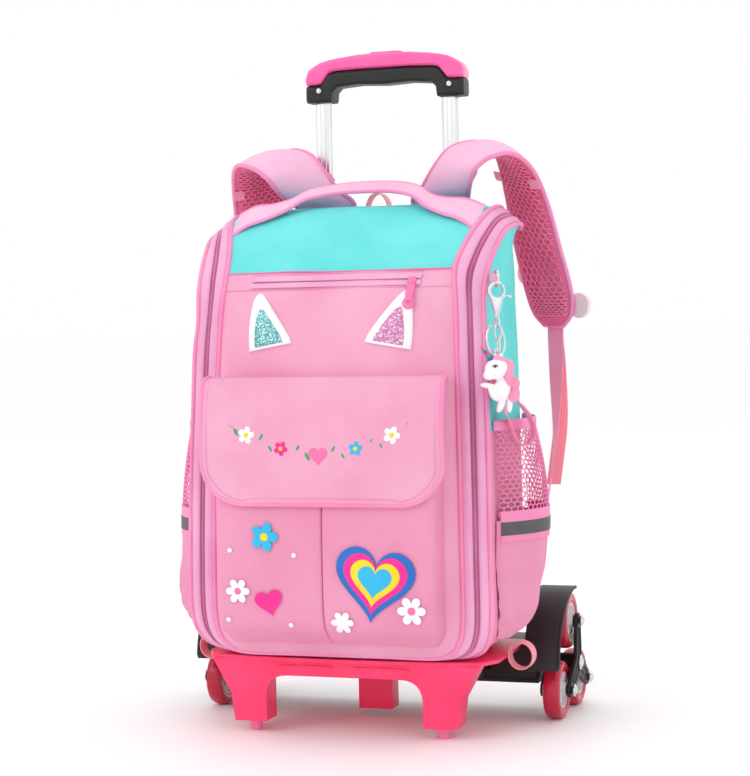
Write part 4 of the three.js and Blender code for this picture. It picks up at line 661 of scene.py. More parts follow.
# Bag body: the zip frame's two pipings, in shares of half the bag's width, of its depth and of its height
PIPING = 2.5  # radius
BAG_FLOOR = span("piping_outer")[0][2] + PIPING * math.cos(math.radians(36))
BAG_BACK = 22
BAG_WIDE, BAG_DEEP, BAG_TALL = 328, 184, 466
FRAME_ROWS = [
    # inner piping across, ahead, up; outer piping across, ahead, up; back edge across, up; way in, degrees
    (0.841, 0.043, 0.985, 0.963, 0.043, 0.951, 0.915, 0.955, 0),
    (0.878, 0.179, 0.998, 1.012, 0.196, 0.959, 0.915, 0.955, 0),
    (0.884, 0.359, 0.996, 1.018, 0.38, 0.955, 0.921, 0.936, 0),
    (0.872, 0.505, 0.981, 1.006, 0.543, 0.94, 0.927, 0.91, 0),
    (0.829, 0.62, 0.948, 0.988, 0.668, 0.906, 0.933, 0.878, 0),
    (0.787, 0.728, 0.906, 0.97, 0.772, 0.865, 0.939, 0.839, 0),
    (0.762, 0.832, 0.858, 0.957, 0.848, 0.813, 0.939, 0.79, 0),
    (0.78, 0.88, 0.785, 0.957, 0.864, 0.747, 0.945, 0.732, 0),
    (0.793, 0.913, 0.678, 0.97, 0.897, 0.678, 0.951, 0.667, 0),
    (0.805, 0.946, 0.528, 0.982, 0.924, 0.528, 0.957, 0.528, 0),
    (0.817, 0.973, 0.367, 0.994, 0.951, 0.367, 0.963, 0.367, 0),
    (0.823, 0.989, 0.217, 1.0, 0.967, 0.217, 0.963, 0.217, 0),
    (0.823, 0.989, 0.099, 1.0, 0.962, 0.099, 0.963, 0.099, 0),
    (0.799, 0.978, 0.047, 0.963, 0.924, 0.043, 0.915, 0.043, 30),
    (0.732, 0.962, 0.017, 0.878, 0.859, 0.013, 0.817, 0.013, 60),
    (0.622, 0.951, 0.006, 0.72, 0.799, 0, 0.671, 0, 90),
    (0.305, 0.951, 0.006, 0.329, 0.788, 0, 0.305, 0, 90),
    (0, 0.951, 0.006, 0, 0.788, 0, 0, 0, 90),
]
SEAM_ROW, FULL_ROW, FOOT_ROW = 6, 1, 15  # top seam, first row with a side wall, front panel's foot
FINE = 6  # fine rows for each row of the table


def bag_place(across, ahead, up):
    return np.stack([across * BAG_WIDE / 2, -BAG_BACK - ahead * BAG_DEEP, BAG_FLOOR + up * BAG_TALL], -1)


fine_rows = spline(FRAME_ROWS, (len(FRAME_ROWS) - 1) * FINE + 1)
right_inner = bag_place(*fine_rows[:, 0:3].T)
right_outer = bag_place(*fine_rows[:, 3:6].T)
right_back = bag_place(fine_rows[:, 6], 0 * fine_rows[:, 6], fine_rows[:, 7])
right_turn = np.radians(fine_rows[:, 8])
right_inward = np.stack([-np.cos(right_turn), 0 * right_turn, np.sin(right_turn)], -1)


def round_bag(right):
    """The right side's run and its mirror image, from the top right round the floor to the top left."""
    return np.concatenate([right, (right * (-1, 1, 1))[-2::-1]])


inner_run, outer_run = round_bag(right_inner), round_bag(right_outer)
back_run, inward_run = round_bag(right_back), round_bag(right_inward)
bag_middle = np.array([0, -BAG_BACK - BAG_DEEP / 2, BAG_FLOOR + BAG_TALL / 2])
SIDE_POCKET_TOP = span("side_pocket_net_right")[1][2]
BACK_ROUND = 24  # rounding between the sides and the back
BACK_TOP = 0.972  # top edge of the back, a share of the bag's height
BACK_CHANNEL = 78  # pitch of the sewn channels
SIDE_SWELL = 5
PANEL_WALL = 3.5  # front and top panels' cloth with its padding


def mix(a, b, share):
    return a + (b - a) * share


def bag_sides():
    """Sides, floor and rounded back edges, turquoise above the side pockets and pink below."""
    full = slice(FULL_ROW * FINE, len(inner_run) - FULL_ROW * FINE)
    outer, back, inward = outer_run[full], back_run[full], inward_run[full]
    corner = back - (0, BACK_ROUND, 0)
    columns = []
    for share in np.linspace(0, 1, 9):
        swell = SIDE_SWELL * np.abs(inward[:, :1]) * math.sin(math.pi * share)
        columns.append(mix(outer, corner, share) - np.abs(swell) * np.sign(inward[:, :1] + 1e-9) * (1, 0, 0))
    for angle in np.radians(np.linspace(0, 90, 6)[1:]):
        turned = corner + inward * BACK_ROUND * (1 - math.cos(angle))
        columns.append(turned + (0, BACK_ROUND * math.sin(angle), 0))
    grid = np.stack(columns, 1)
    grid[:, 1:8] += inward[:, None] * ripple(grid[:, 1:8], 55, 1.0)[..., None]
    shape = cloth_grid(grid, 3.0, bag_middle)
    points, faces, _ = shape
    heights = np.array([points[f].mean(0)[2] for f in faces])
    kinds = (heights < SIDE_POCKET_TOP - 4).astype(int)
    add_piece("bag_sides", shape, [AQUA, PINK_LOW], "pink_cloth", "bag_shell", kinds=kinds)


def bag_back():
    """The back panel: a flat padded field with sewn channels, up to the top panel's edge."""
    full = slice(FULL_ROW * FINE, len(back_run) - FULL_ROW * FINE)
    ring = back_run[full] + inward_run[full] * (BACK_ROUND - 1)
    top = BAG_FLOOR + BACK_TOP * BAG_TALL
    top_edge = [(x, -BAG_BACK, top) for x in np.linspace(ring[-1][0], ring[0][0], 26)]
    loop = np.concatenate([ring, top_edge])
    low, high = loop[:, 2].min() + 90, loop[:, 2].max() - 90
    hubs = np.stack([0 * loop[:, 0], loop[:, 1], np.clip(loop[:, 2], low, high)], -1)
    rings = []
    for share in np.linspace(0, 0.999, 26):
        rows = mix(loop, hubs, share)
        edge = np.minimum(1, share * 9)
        quilt = 0.5 + 0.5 * np.cos(2 * math.pi * (rows[:, 2] - low) / BACK_CHANNEL)
        rows = rows + np.stack([0 * quilt, 3.5 * edge * quilt**0.35, 0 * quilt], -1)
        rings.append(rows)
    front = [r * (1, 0, 1) + (0, -BAG_BACK - 4, 0) for r in rings]
    points, faces = loft(rings[::-1] + front)
    add_piece("bag_back", (points, faces, points[:, [0, 2]]), PINK, "pink_cloth")


def zip_band():
    """The pale band between the pipings, with a groove on each side of its zip, and in each groove a thin
    dark rose line of painted shade.
    """
    near = [
        # share across from the inner piping to the outer, height; beyond the zip it is the mirror image
        (0.0, -0.6), (0.07, 0.8), (0.16, 2.0), (0.27, 2.6), (0.36, 2.0), (0.41, 0.4), (0.43, -0.6),
        (0.5, -0.6),
    ]
    shares, heights = spline(near + [(1 - share, height) for share, height in near[-2::-1]], 57).T
    middle = mix(inner_run, outer_run, 0.5)
    wide = outer_run - inner_run
    out = unit(np.cross(unit(wide), tangents_of(middle)))
    out *= np.sign((out * unit(middle - bag_middle)).sum(-1, keepdims=True))
    grid = inner_run[:, None] + wide[:, None] * shares[:, None] + out[:, None] * heights[:, None]
    grid += out[:, None] * ripple(grid, 35, 0.35)[..., None]
    slot = "pale_pink_cloth"
    add_piece("zip_band_cloth", cloth_grid(grid, 2.2, bag_middle), BAND, slot, "zip_band")
    line = middle + out * 0.1
    seam_row("zip_teeth", [(line, out)], COIL, pitch=2.0, length=1.5, width=4.4, height=2.4)
    # painted shade: a thin dark rose tube lies in each groove beside the teeth
    for share in (0.42, 0.58):
        groove = tube(mix(inner_run, outer_run, share) + out * 0.2, 0.9, sides=8)
        add_piece(f"zip_groove_shade_{int(share * 100)}", groove, GROOVE_SHADE, slot)
    for share in (0.09, 0.91):
        line = mix(inner_run, outer_run, share) + out * 1.15
        seam_row(f"band_stitches_{int(share * 100)}", [(line, out)], THREAD)


def pipings():
    for name, run in (("piping_inner", inner_run), ("piping_outer", outer_run)):
        add_piece(f"{name}_cord", tube(run, PIPING, sides=12), CORD, "pink_cloth", name)


FRONT_CROWN = 24
FRONT_SWELL = [0.1, 0.8, 1, 1, 1, 1, 0.95, 0.6, 0.25, 0.05]  # share of the crown in each row
front_rows = right_inner[SEAM_ROW * FINE: FOOT_ROW * FINE + 1]
front_crown = FRONT_CROWN * np.clip(spline(np.array(FRONT_SWELL)[:, None], len(front_rows))[:, 0], 0, 1.02)


def front_y(x, z):
    """How far ahead the front panel's cloth is at a place."""
    heights = front_rows[::-1, 2]
    half = np.interp(z, heights, front_rows[::-1, 0]) - 1.5
    ahead = np.interp(z, heights, front_rows[::-1, 1])
    crown = np.interp(z, heights, front_crown[::-1])
    return ahead - crown * (1 - np.minimum(1, np.abs(x) / half) ** 4)


def panel_grid(rows, crowns, lifts):
    """Points of a panel between the inner pipings, crowned ahead and lifted towards its middle."""
    shares = np.linspace(-1, 1, 49)
    rise = 1 - shares**4
    half = rows[:, :1] - 1.5
    return np.stack([
        half * shares, rows[:, 1:2] - crowns[:, None] * rise, rows[:, 2:3] + lifts[:, None] * rise,
    ], -1)


def front_panel():
    grid = panel_grid(front_rows, front_crown, 0 * front_crown)
    grid[..., 1] += ripple(grid, 60, 1.1)
    shape = cloth_grid(grid, PANEL_WALL, bag_middle)
    add_piece("front_panel_cloth", shape, PINK, "pink_cloth", "front_panel")


def top_panel():
    rows = right_inner[: SEAM_ROW * FINE + 1]
    share = np.linspace(0, 1, len(rows))
    crowns = front_crown[0] * share
    lifts = 6 * np.sin(math.pi * np.minimum(1, 0.25 + 0.75 * share))
    grid = panel_grid(rows, crowns, lifts)
    drop = np.linspace(1, 0, 5)[:-1, None, None]
    back = grid[:1] * (1, 0, 1) + (0, -BAG_BACK, 0) - drop * (0, 0, 15)
    grid = np.concatenate([back, grid])
    grid[4:, :, 2] += ripple(grid[4:], 70, 1.3, 3)
    shape = cloth_grid(grid, PANEL_WALL, bag_middle)
    add_piece("top_panel_cloth", shape, AQUA, "turquoise_cloth", "top_panel")
    add_piece("top_seam", tube(grid[-1] + (0, -0.4, 0), 0.9, sides=8), THREAD, "turquoise_cloth")


bag_sides()
bag_back()
zip_band()
pipings()
front_panel()
top_panel()


# Front details
OUT = (0, -1, 0)  # the way out of the bag's front


def wrapped(outline, surface, lift, thickness, rings=7, centre=None, edge=0.8):
    """A flat outline in X and Z laid on a surface: points and faces of a thin pad with rounded edges."""
    outline = np.asarray(outline, float)
    hub = outline.mean(0) if centre is None else np.asarray(centre, float)
    size = np.abs(outline - hub).max()
    inset = min(0.4, edge / size)
    levels = [(1.0, 0.0), (1.0, 0.5), (1 - inset * 0.3, 0.85), (1 - inset, 1.0)]
    levels += [(s, 1.0) for s in np.linspace(1 - inset, 0.04, rings)[1:]]
    layers = []
    for scale, up in levels:
        flat = hub + (outline - hub) * scale
        y = surface(flat[:, 0], flat[:, 1]) - lift - up * thickness
        layers.append(np.stack([flat[:, 0], y, flat[:, 1]], -1))
    bottom = []
    for scale in np.linspace(1 - inset, 0.04, rings):
        flat = hub + (outline - hub) * scale
        bottom.append(np.stack([flat[:, 0], surface(flat[:, 0], flat[:, 1]) - lift, flat[:, 1]], -1))
    points, faces = loft(bottom[::-1] + layers)
    return points, faces, points[:, [0, 2]]


def box_outline(x0, x1, z0, z1, corner, count=8):
    """An outline of a rectangle with round corners."""
    points = []
    for cx, cz, start in ((x1, z1, 0), (x0, z1, 90), (x0, z0, 180), (x1, z0, 270)):
        sx, sz = (-1 if cx == x1 else 1), (-1 if cz == z1 else 1)
        for angle in np.radians(start + np.linspace(0, 90, count)):
            across, up = corner * math.cos(angle), corner * math.sin(angle)
            points.append((cx + sx * corner + across, cz + sz * corner + up))
    return np.array(points)


def dense(outline, step):
    """An outline with more points on its long sides."""
    outline = np.asarray(outline, float)
    points = []
    for a, b in zip(outline, np.roll(outline, -1, 0)):
        count = max(1, int(np.linalg.norm(b - a) / step))
        points += [mix(a, b, k / count) for k in range(count)]
    return np.array(points)


def zip_strip():
    """The upper pocket's zip: two tapes with the coil between them, and the pocket's stitches."""
    (left, _, foot), (right, _, top) = span("zip_strip")
    middle = (foot + top) / 2
    parts = []
    for z0, z1 in ((foot, middle - 0.7), (middle + 0.7, top)):
        outline = dense(box_outline(left, right, z0, z1, 1.5, 4), 8)
        parts.append((*wrapped(outline, front_y, 0.2, 1.6, rings=3), 0))
    slot = "pale_pink_cloth"
    add_joined("zip_strip_tapes", parts, BAND, slot, node="zip_strip")
    x = np.linspace(left + 2, right - 2, 60)
    line = np.stack([x, front_y(x, middle) - 0.6, 0 * x + middle], -1)
    seam_row("zip_strip_teeth", [(line, OUT)], COIL, pitch=1.6, length=1.2, width=1.7, height=1.4)
    paths = []
    for z, reach in ((top + 1.8, right), (foot - 2.2, 131)):
        x = np.linspace(-reach, reach, 80)
        paths.append((np.stack([x, front_y(x, z) - 0.5, 0 * x + z], -1), OUT))
    seam_row("upper_pocket_stitches", paths, THREAD, pitch=3.0, length=2.2)

def zip_pull():
    """A slider and its soft pull, a tongue with a ringed end; a darker pink disc inside the ring is painted
    shade in place of the pull's hole.
    """
    low, high = span("zip_pull")
    x, top, foot = (low[0] + high[0]) / 2, high[2], low[2]
    half, ring, lift = 4.3, 6.4, 2.6
    middle = foot + ring
    curve = [(x - half, top - 8), (x - half, foot + 2.4 * ring), (x - half * 0.8, foot + 2 * ring)]
    curve += [
        (x + ring * math.cos(a), middle + ring * math.sin(a)) for a in np.radians(np.linspace(150, 390, 18))
    ]
    curve += [(x + half * 0.8, foot + 2 * ring), (x + half, foot + 2.4 * ring), (x + half, top - 8)]
    pad = wrapped(dense(curve, 3), front_y, lift, 2.6, rings=4, centre=(x, foot + 2.1 * ring), edge=1.0)
    hole_at = (x, front_y(x, middle) - lift - 2.4, middle)
    hole = tube(oval(3.6, 3.6, 20) + hole_at, 1.1, sides=8, closed=True)
    slider = wrapped(box_outline(x - 4.2, x + 4.2, top - 9, top - 0.5, 2.5), front_y, 1.6, 3.2, rings=3)
    ridge = wrapped(box_outline(x - 1.6, x + 1.6, top - 8, top - 1.5, 1.2), front_y, 4.6, 1.2, rings=3)
    # painted shade: a thin darker pink disc fills the ring in place of the pull's hole
    hole_shade_outline = box_outline(x - 2.6, x + 2.6, middle - 2.6, middle + 2.6, 2.55)
    dark = wrapped(hole_shade_outline, front_y, lift + 2.3, 0.5)
    parts = [(*pad, 0), (*hole, 0), (*slider, 0), (*ridge, 0), (*dark, 1)]
    add_joined("zip_pull_rubber", parts, [PULL, THREAD], "pink_cloth", node="zip_pull")


EAR_SHAPE = [
    # across, up, in shares of the ear's width and height
    (-0.5, 0), (-0.53, 0.25), (-0.52, 0.55), (-0.47, 0.85), (-0.41, 0.97), (-0.3, 1), (-0.1, 0.84),
    (0.2, 0.53), (0.42, 0.28), (0.5, 0.14),
]


def ears():
    for side, hand, glitter in (("left", 1, TEAL_GLITTER), ("right", -1, ROSE_GLITTER)):
        low, high = span(f"ear_{side}")
        wide, tall = high[0] - low[0], high[2] - low[2]
        middle = (low[0] + high[0]) / 2 + hand * 0.01 * wide
        soft = spline(EAR_SHAPE, 48) * (hand * wide * 0.98, tall) + (middle, low[2])
        outline = dense(soft, 3)
        centre = np.array([middle - hand * 0.05 * wide, low[2] + 0.36 * tall])
        pad = wrapped(outline, front_y, 0.3, 3.4, rings=6, centre=centre, edge=5)
        inner = centre + (outline - centre) * 0.66 - (0, 0.05 * tall)
        field = wrapped(inner, front_y, 3.4, 0.9, rings=5, centre=centre - (0, 0.03 * tall), edge=1.2)
        add_piece(f"ear_{side}_cloth", pad, WHITE, "white_cloth", f"ear_{side}")
        add_piece(f"ear_{side}_glitter", field, glitter, "glitter_cloth", f"ear_inset_{side}")


zip_strip()
zip_pull()
ears()

# Front pocket and its flap
POCKET_ROWS = [
    # up, depth, width
    (0, 0.2, 0.92), (0.04, 0.62, 0.98), (0.1, 0.92, 1), (0.3, 1, 1), (0.6, 1, 1), (0.82, 0.95, 1),
    (1, 0.88, 1),
]
POCKET_HALF = 117
POCKET_DEEP = 17
pocket_low, pocket_high = span("front_pocket")
pocket_shares = spline(POCKET_ROWS, 49)
POCKET_EDGE = [(1.02, 0), (1.015, 0.5), (1, 0.86), (0.965, 0.97), (0.9, 1.01), (0.5, 1.02), (0.03, 1.03)]


def pocket_depth(z):
    up = np.clip((z - pocket_low[2]) / (pocket_high[2] - pocket_low[2]), 0, 1)
    return np.interp(up, pocket_shares[:, 0], pocket_shares[:, 1]) * POCKET_DEEP


def pocket_y(x, z):
    """The front of the pocket, away from its rounded edges."""
    return front_y(0 * np.asarray(x, float), z) - 0.4 - pocket_depth(z) * 1.02


def front_pocket():
    right = spline(POCKET_EDGE, 40)
    pleat = np.array([(0.006, 1.0), (0.001, 0.8), (-0.006, 0.78), (-0.012, 0.97)])
    columns = np.concatenate([right, pleat, (right * (-1, 1))[::-1]])
    grid = []
    for up, depth, width in pocket_shares:
        z = mix(pocket_low[2], pocket_high[2], up)
        x = columns[:, 0] * width * POCKET_HALF
        forward = columns[:, 1]
        base = front_y(np.sign(x) * np.minimum(np.abs(x), POCKET_HALF), z)
        flat = mix(base, front_y(0.0, z), np.minimum(1, forward))
        grid.append(np.stack([x, flat - 0.4 - forward * max(depth * POCKET_DEEP, 2.4), 0 * x + z], -1))
    grid = np.array(grid)
    grid[..., 1] += ripple(grid, 48, 1.3, 7) * np.minimum(1, columns[:, 1])
    shape = cloth_grid(grid, 2.0, (0, 0, 230))
    add_piece("front_pocket_cloth", shape, PINK_LOW, "pink_cloth", "front_pocket", sharp=60)
    rows = grid[:, [3, -4]]
    paths = [(rows[:, k] + (0, -0.3, 0), (0.7 * hand, -0.7, 0)) for k, hand in ((0, 1), (1, -1))]
    seam_row("pocket_edge_stitches", paths, THREAD)


FLAP_HALF, FLAP_CORNER, FLAP_SWELL, FLAP_WALL = 130, 46, 6, 3.5
flap_low, flap_high = span("flap")
FLAP_TOP = flap_high[2] - 1
FLAP_FOOT = flap_low[2]


def flap_foot(x):
    into = np.maximum(0, np.abs(x) - (FLAP_HALF - FLAP_CORNER))
    return FLAP_FOOT + FLAP_CORNER - np.sqrt(np.maximum(0, FLAP_CORNER**2 - into**2))


def flap_y(x, z):
    """The outer face of the flap."""
    down = np.clip((FLAP_TOP - z) / (FLAP_TOP - flap_foot(x)), 0, 1)
    over = 1.4 + FLAP_WALL
    base = pocket_y(0 * np.asarray(x, float), np.maximum(z, FLAP_FOOT))
    return base - over - FLAP_SWELL * np.sin(math.pi * down)


def flap():
    shares = np.sin(np.linspace(-1, 1, 61) * math.pi / 2)
    x = shares * (FLAP_HALF - 1)
    grid = []
    seam_x = shares * (FLAP_HALF - 8)
    seam_y = front_y(seam_x, FLAP_TOP)
    front = flap_y(x, 0 * x + FLAP_TOP - 3)
    for s in np.linspace(0, 1, 8):
        bend = math.sin(s * math.pi / 2)
        ahead = mix(seam_y - 0.4, front, s**0.8)
        rise = 1.5 * math.sin(math.pi * s) - 3 * s**6
        grid.append(np.stack([mix(seam_x, x, bend), ahead, 0 * x + FLAP_TOP + rise], -1))
    for down in np.linspace(0.03, 1, 36):
        z = mix(FLAP_TOP - 3, flap_foot(x) + 0.5, down)
        grid.append(np.stack([x, flap_y(x, z), z], -1))
    grid = np.array(grid)
    grid[8:, :, 1] += ripple(grid[8:], 70, 1.0, 11)
    shape = cloth_grid(grid, FLAP_WALL, (0, 0, 300))
    add_piece("flap_cloth", shape, PINK, "pink_cloth", "flap", sharp=50)
    edge = np.concatenate([grid[4:-1, 0], grid[-1, 1:-1], grid[4:-1, -1][::-1]])
    add_piece("flap_binding", tube(edge + (0, 1.3, 0), 2.6, sides=12), CORD, "pink_cloth")
    inset = 6.5
    hub = np.array([0, 0, (FLAP_TOP + FLAP_FOOT) / 2])
    line = []
    for x0, _, z0 in edge[6:-6]:
        place = np.array([x0, 0, z0])
        step = place - hub
        if abs(x0) > FLAP_HALF - 4:
            place = place - (np.sign(x0) * inset, 0, 0)
        elif abs(x0) < FLAP_HALF - FLAP_CORNER:
            place = place - unit(step * (0.35, 0, 1)) * inset
        else:
            place = place - unit(step) * inset
        line.append((place[0], float(flap_y(place[0], place[2])) - 0.3, place[2]))
    seam_row("flap_stitches", [(spline(line, len(line)), OUT)], THREAD, pitch=3.4, length=2.4)


front_pocket()
flap()


# Side pockets
SIDE_POCKET_ROWS = [
    # up, front and back seams in shares of the bag's depth, swell
    (0, 0.8, 0.62, 0.3), (0.06, 0.85, 0.52, 0.62), (0.14, 0.88, 0.47, 0.84), (0.24, 0.89, 0.44, 0.9),
    (0.36, 0.89, 0.2, 0.94), (0.48, 0.88, 0.12, 1), (0.62, 0.87, 0.1, 1), (0.8, 0.86, 0.1, 0.88),
    (1, 0.85, 0.1, 0.62),
]
SIDE_POCKET_FOOT = BAG_FLOOR + 20
NET_FOOT = span("side_pocket_net_right")[0][2]
SIDE_POCKET_SWELL = 36
side_rows = slice(SEAM_ROW * FINE - FINE, (FOOT_ROW - 1) * FINE)


def side_x(y, z):
    """How far out the bag's side is at a place."""
    outer, back = right_outer[side_rows][::-1], right_back[side_rows][::-1]
    x0, y0 = np.interp(z, outer[:, 2], outer[:, 0]), np.interp(z, outer[:, 2], outer[:, 1])
    x1 = np.interp(z, outer[:, 2], back[:, 0])
    along = np.clip((y - y0) / (-BAG_BACK - BACK_ROUND - y0), 0, 1)
    return mix(x0, x1, along) + SIDE_SWELL * (1 - np.abs(2 * along - 1))


side_pocket_fine = spline(SIDE_POCKET_ROWS, 65)


def side_pocket_place(along, z, proud=0.0):
    """A point on the side pocket, from its front seam to its back seam."""
    up = np.clip((z - SIDE_POCKET_FOOT) / (SIDE_POCKET_TOP - SIDE_POCKET_FOOT), 0, 1)
    front, back, swell = (np.interp(up, side_pocket_fine[:, 0], side_pocket_fine[:, k]) for k in (1, 2, 3))
    y = -BAG_BACK - BAG_DEEP * mix(front, back, along)
    out = SIDE_POCKET_SWELL * swell * np.maximum(0, np.sin(math.pi * along)) ** 0.7
    return np.stack([side_x(y, z) + 2.0 + out + proud, y, z + 0 * y], -1)


def side_pockets():
    shares = np.sin(np.linspace(-1, 1, 49) * math.pi / 2) / 2 + 0.5
    heights = np.linspace(SIDE_POCKET_FOOT, NET_FOOT - 0.6, 52)
    grid = np.array([side_pocket_place(shares, z) for z in heights])
    gather = np.exp(-((shares - 0.16) / 0.16) ** 2)
    for z, row in zip(heights, grid):
        low = np.clip((NET_FOOT - 30 - z) / 70, 0, 1)
        row[:, 0] += 2.2 * gather * low * np.sin(2 * math.pi * (z + 80 * shares) / 21)
    grid[..., 0] += ripple(grid, 40, 1.5, 5)
    shape = cloth_grid(grid, 2.0, (0, -110, 200))
    add_pair("side_pocket_base", shape, PINK_LOW, "pink_cloth", "side_pocket_base", sharp=60)
    for name, low, high, lift, made, slot, node in (
        ("pocket_upper_band", -2, 9, 0.9, CORD, "pink_cloth", None),
        ("reflective_tape", -15.5, -2, 1.3, GREY, "reflective_tape", "reflective_stripe"),
        ("pocket_lower_band", -22, -15.5, 0.9, CORD, "pink_cloth", None),
    ):
        levels = NET_FOOT + np.linspace(low, high, 6)
        strip = np.array([side_pocket_place(shares[3:-3], z, lift + 0.4) for z in levels])
        add_pair(name, cloth_grid(strip, 1.2, (0, -110, 200)), made, slot, node)
    rim = side_pocket_place(shares, 0 * shares + SIDE_POCKET_TOP - 4)
    binding = strap([(p, (0, 0, 1), 11, 3.4) for p in rim], corner=0.4)
    add_pair("side_pocket_binding", binding, CORD, "pink_cloth")
    for side, hand in SIDES:
        def knot(u, v, hand=hand):
            place = side_pocket_place(mix(0.01, 0.99, u), mix(NET_FOOT - 1, SIDE_POCKET_TOP - 8, v), -0.4)
            return (place * (hand, 1, 1)).tolist()
        node = f"side_pocket_net_{side}"
        net_piece(f"{node}_knit", knot, 44, 20, 0.75, NET_PALE, node)


side_pockets()


# Handles, straps and webbing
def turned(turn, tilt=0.0):
    """The direction across a strap that is turned about Z and tilted."""
    a, b = np.radians(turn), np.radians(tilt)
    return np.stack([np.cos(a) * np.cos(b), -np.sin(a) * np.cos(b), np.sin(b) + 0 * a], -1)


def grab_handle():
    """The carrying handle: a padded arch whose ends widen into flat wings on the bag's top."""
    rows = [
        # across, back, up, tilt, thickness, width
        (-1.02, -0.02, -0.16, -36, 0.8, 1.7), (-0.88, 0, 0.14, -36, 0.8, 1.4),
        (-0.72, 0.02, 0.28, -34, 0.9, 1.1), (-0.58, 0.16, 0.48, -30, 1.3, 0.98),
        (-0.44, 0.46, 0.82, -26, 1.5, 0.96), (-0.22, 0.84, 1, -24, 1.6, 1), (0, 1, 1.04, -24, 1.65, 1.02),
    ]
    both = rows + [(-row[0], *row[1:]) for row in rows[-2::-1]]
    fine = spline(both, 97)
    foot = np.array([0, -BAG_BACK - 0.52 * BAG_DEEP, BAG_FLOOR + 0.982 * BAG_TALL])
    places = foot + fine[:, :3] * (135, 46, 33)
    tilt = np.radians(fine[:, 3])
    across = np.stack([0 * tilt, np.cos(tilt), -np.sin(tilt)], -1)
    stations = list(zip(places, across, 27 * fine[:, 5], 5.4 * fine[:, 4]))
    rings, uvs, normals, _ = strap_rings(stations, corner=0.55, sides=32)
    rings += normals[:, None] * ripple(rings, 30, 0.7, 2)[..., None]
    shape = lofted(rings, uvs)
    piece = add_piece("grab_handle_pad", shape, PALE, "pale_pink_cloth", "grab_handle", sharp=60)
    for hand, side in ((1, "back"), (-1, "front")):
        edge = places + across * (hand * 13.2 * fine[:, 5:6])
        add_piece(f"grab_handle_piping_{side}", tube(edge, 1.9), CORD, "pink_cloth")


STRAP_ROWS = [
    # across, back, up, turn, tilt, width, thickness
    (0, 0, 0.434, 0, 0, 0.98, 0.55), (0, 0, 0.67, 0, 0, 0.98, 0.55), (0.013, -0.17, 0.727, 5, -4, 1, 0.75),
    (0.112, -0.49, 0.79, 21, -3, 1, 1), (0.219, -0.654, 0.886, 32, -8, 1, 1),
    (0.33, -0.654, 0.956, 38, -16, 1, 1), (0.455, -0.586, 0.99, 44, -17, 1, 1),
    (0.598, -0.44, 1, 47, -15, 1, 1), (0.7, -0.16, 0.966, 46, -13, 1, 1),
    (0.759, 0.197, 0.871, 38, -12, 1, 1), (0.804, 0.565, 0.705, 29, -14, 1, 1),
    (0.857, 0.826, 0.48, 25, -10, 1, 1),
    (0.955, 0.932, 0.209, 27, -2, 1, 1), (0.99, 0.98, 0.075, 27, -2, 0.84, 0.9), (1, 1, 0, 27, -2, 0.45, 0.6),
]
STRAP_FOOT = np.array([66, -BAG_BACK + 0.4 + 0.3 * 13, 421])
STRAP_REACH = np.array([112, 51.7, 193.5])
STRAP_WIDE, STRAP_THICK = 66, 13
strap_fine = spline(STRAP_ROWS, 113)
strap_places = STRAP_FOOT + strap_fine[:, :3] * STRAP_REACH
strap_across = turned(strap_fine[:, 3], strap_fine[:, 4])
strap_width, strap_wall = STRAP_WIDE * strap_fine[:, 5], STRAP_THICK * strap_fine[:, 6]
strap_normals = unit(np.cross(tangents_of(strap_places), strap_across))
STRAP_SIDES = 40  # points round a padded strap


def shoulder_straps():
    """Padded straps: pale cloth outside, spacer net over foam inside, and a bound edge."""
    stations = list(zip(strap_places, strap_across, strap_width - 3, strap_wall))
    rings, uvs, normals, v = strap_rings(stations, corner=0.62, sides=STRAP_SIDES)
    rise = np.sign(v) * (1 - np.abs(np.cos(all_round(STRAP_SIDES))) ** 4)
    crown = 0.9 * normals[:, None] * rise[None, :, None]
    rings = rings + crown + normals[:, None] * ripple(rings, 45, 0.8, 4)[..., None]
    points, faces, uvs = lofted(rings, uvs)
    kinds = []
    for face in faces:
        inner = v[face[0] % STRAP_SIDES] > 0 or v[face[1] % STRAP_SIDES] > 0
        kinds.append(int(inner and max(face) < len(points) - 2))
    for side, hand in SIDES:
        node, shape = f"shoulder_strap_{side}", (points * (hand, 1, 1), faces, uvs)
        looks = [PALE, FOAM]
        piece = add_piece(f"{node}_pad", shape, looks, "pale_pink_cloth", node, kinds=kinds, sharp=60)
    half = strap_across * (strap_width / 2 - 0.6)[:, None]
    rim = np.concatenate([strap_places + half, (strap_places - half)[::-1]])
    add_pair("strap_binding", tube(rim, 2.4, closed=True), CORD, "pink_cloth")

    tabs = []
    for k, hand in ((30, 1), (30, -1), (74, 1), (74, -1)):
        across = strap_across[k]
        edge = strap_places[k] + across * (hand * (strap_width[k] / 2 - 3))
        run = unit(strap_places[k + 1] - strap_places[k - 1])
        stations = []
        for t in (0, 0.3, 0.6, 1):
            place = mix(edge - across * 8, edge + across * 4, t)
            stations.append((place + strap_normals[k] * (5.6 - 3 * t * (hand > 0)), run, 12, 2.2))
        tabs.append((*strap(stations), 0))
    add_pair("strap_tabs", joined(tabs)[0], TAPE, "pale_pink_cloth")

    for side, hand in SIDES:
        def knot(u, v, hand=hand):
            t = mix(6, len(strap_places) - 8, v)
            k = min(int(t), len(strap_places) - 2)
            place, across, normal, width, wall = (
                mix(a[k], a[k + 1], t - k)
                for a in (strap_places, strap_across, strap_normals, strap_width, strap_wall)
            )
            s = 2 * u - 1
            out = wall / 2 * max(0.0, 1 - abs(s) ** 3.2) ** 0.5 + 1.3 * (1 - abs(s) ** 4)
            place = place + across * (s * (width / 2 - 4)) + normal * (out + 0.3)
            return (place * (hand, 1, 1)).tolist()
        net_piece(f"strap_net_{side}", knot, 15, 92, 0.85, NET)


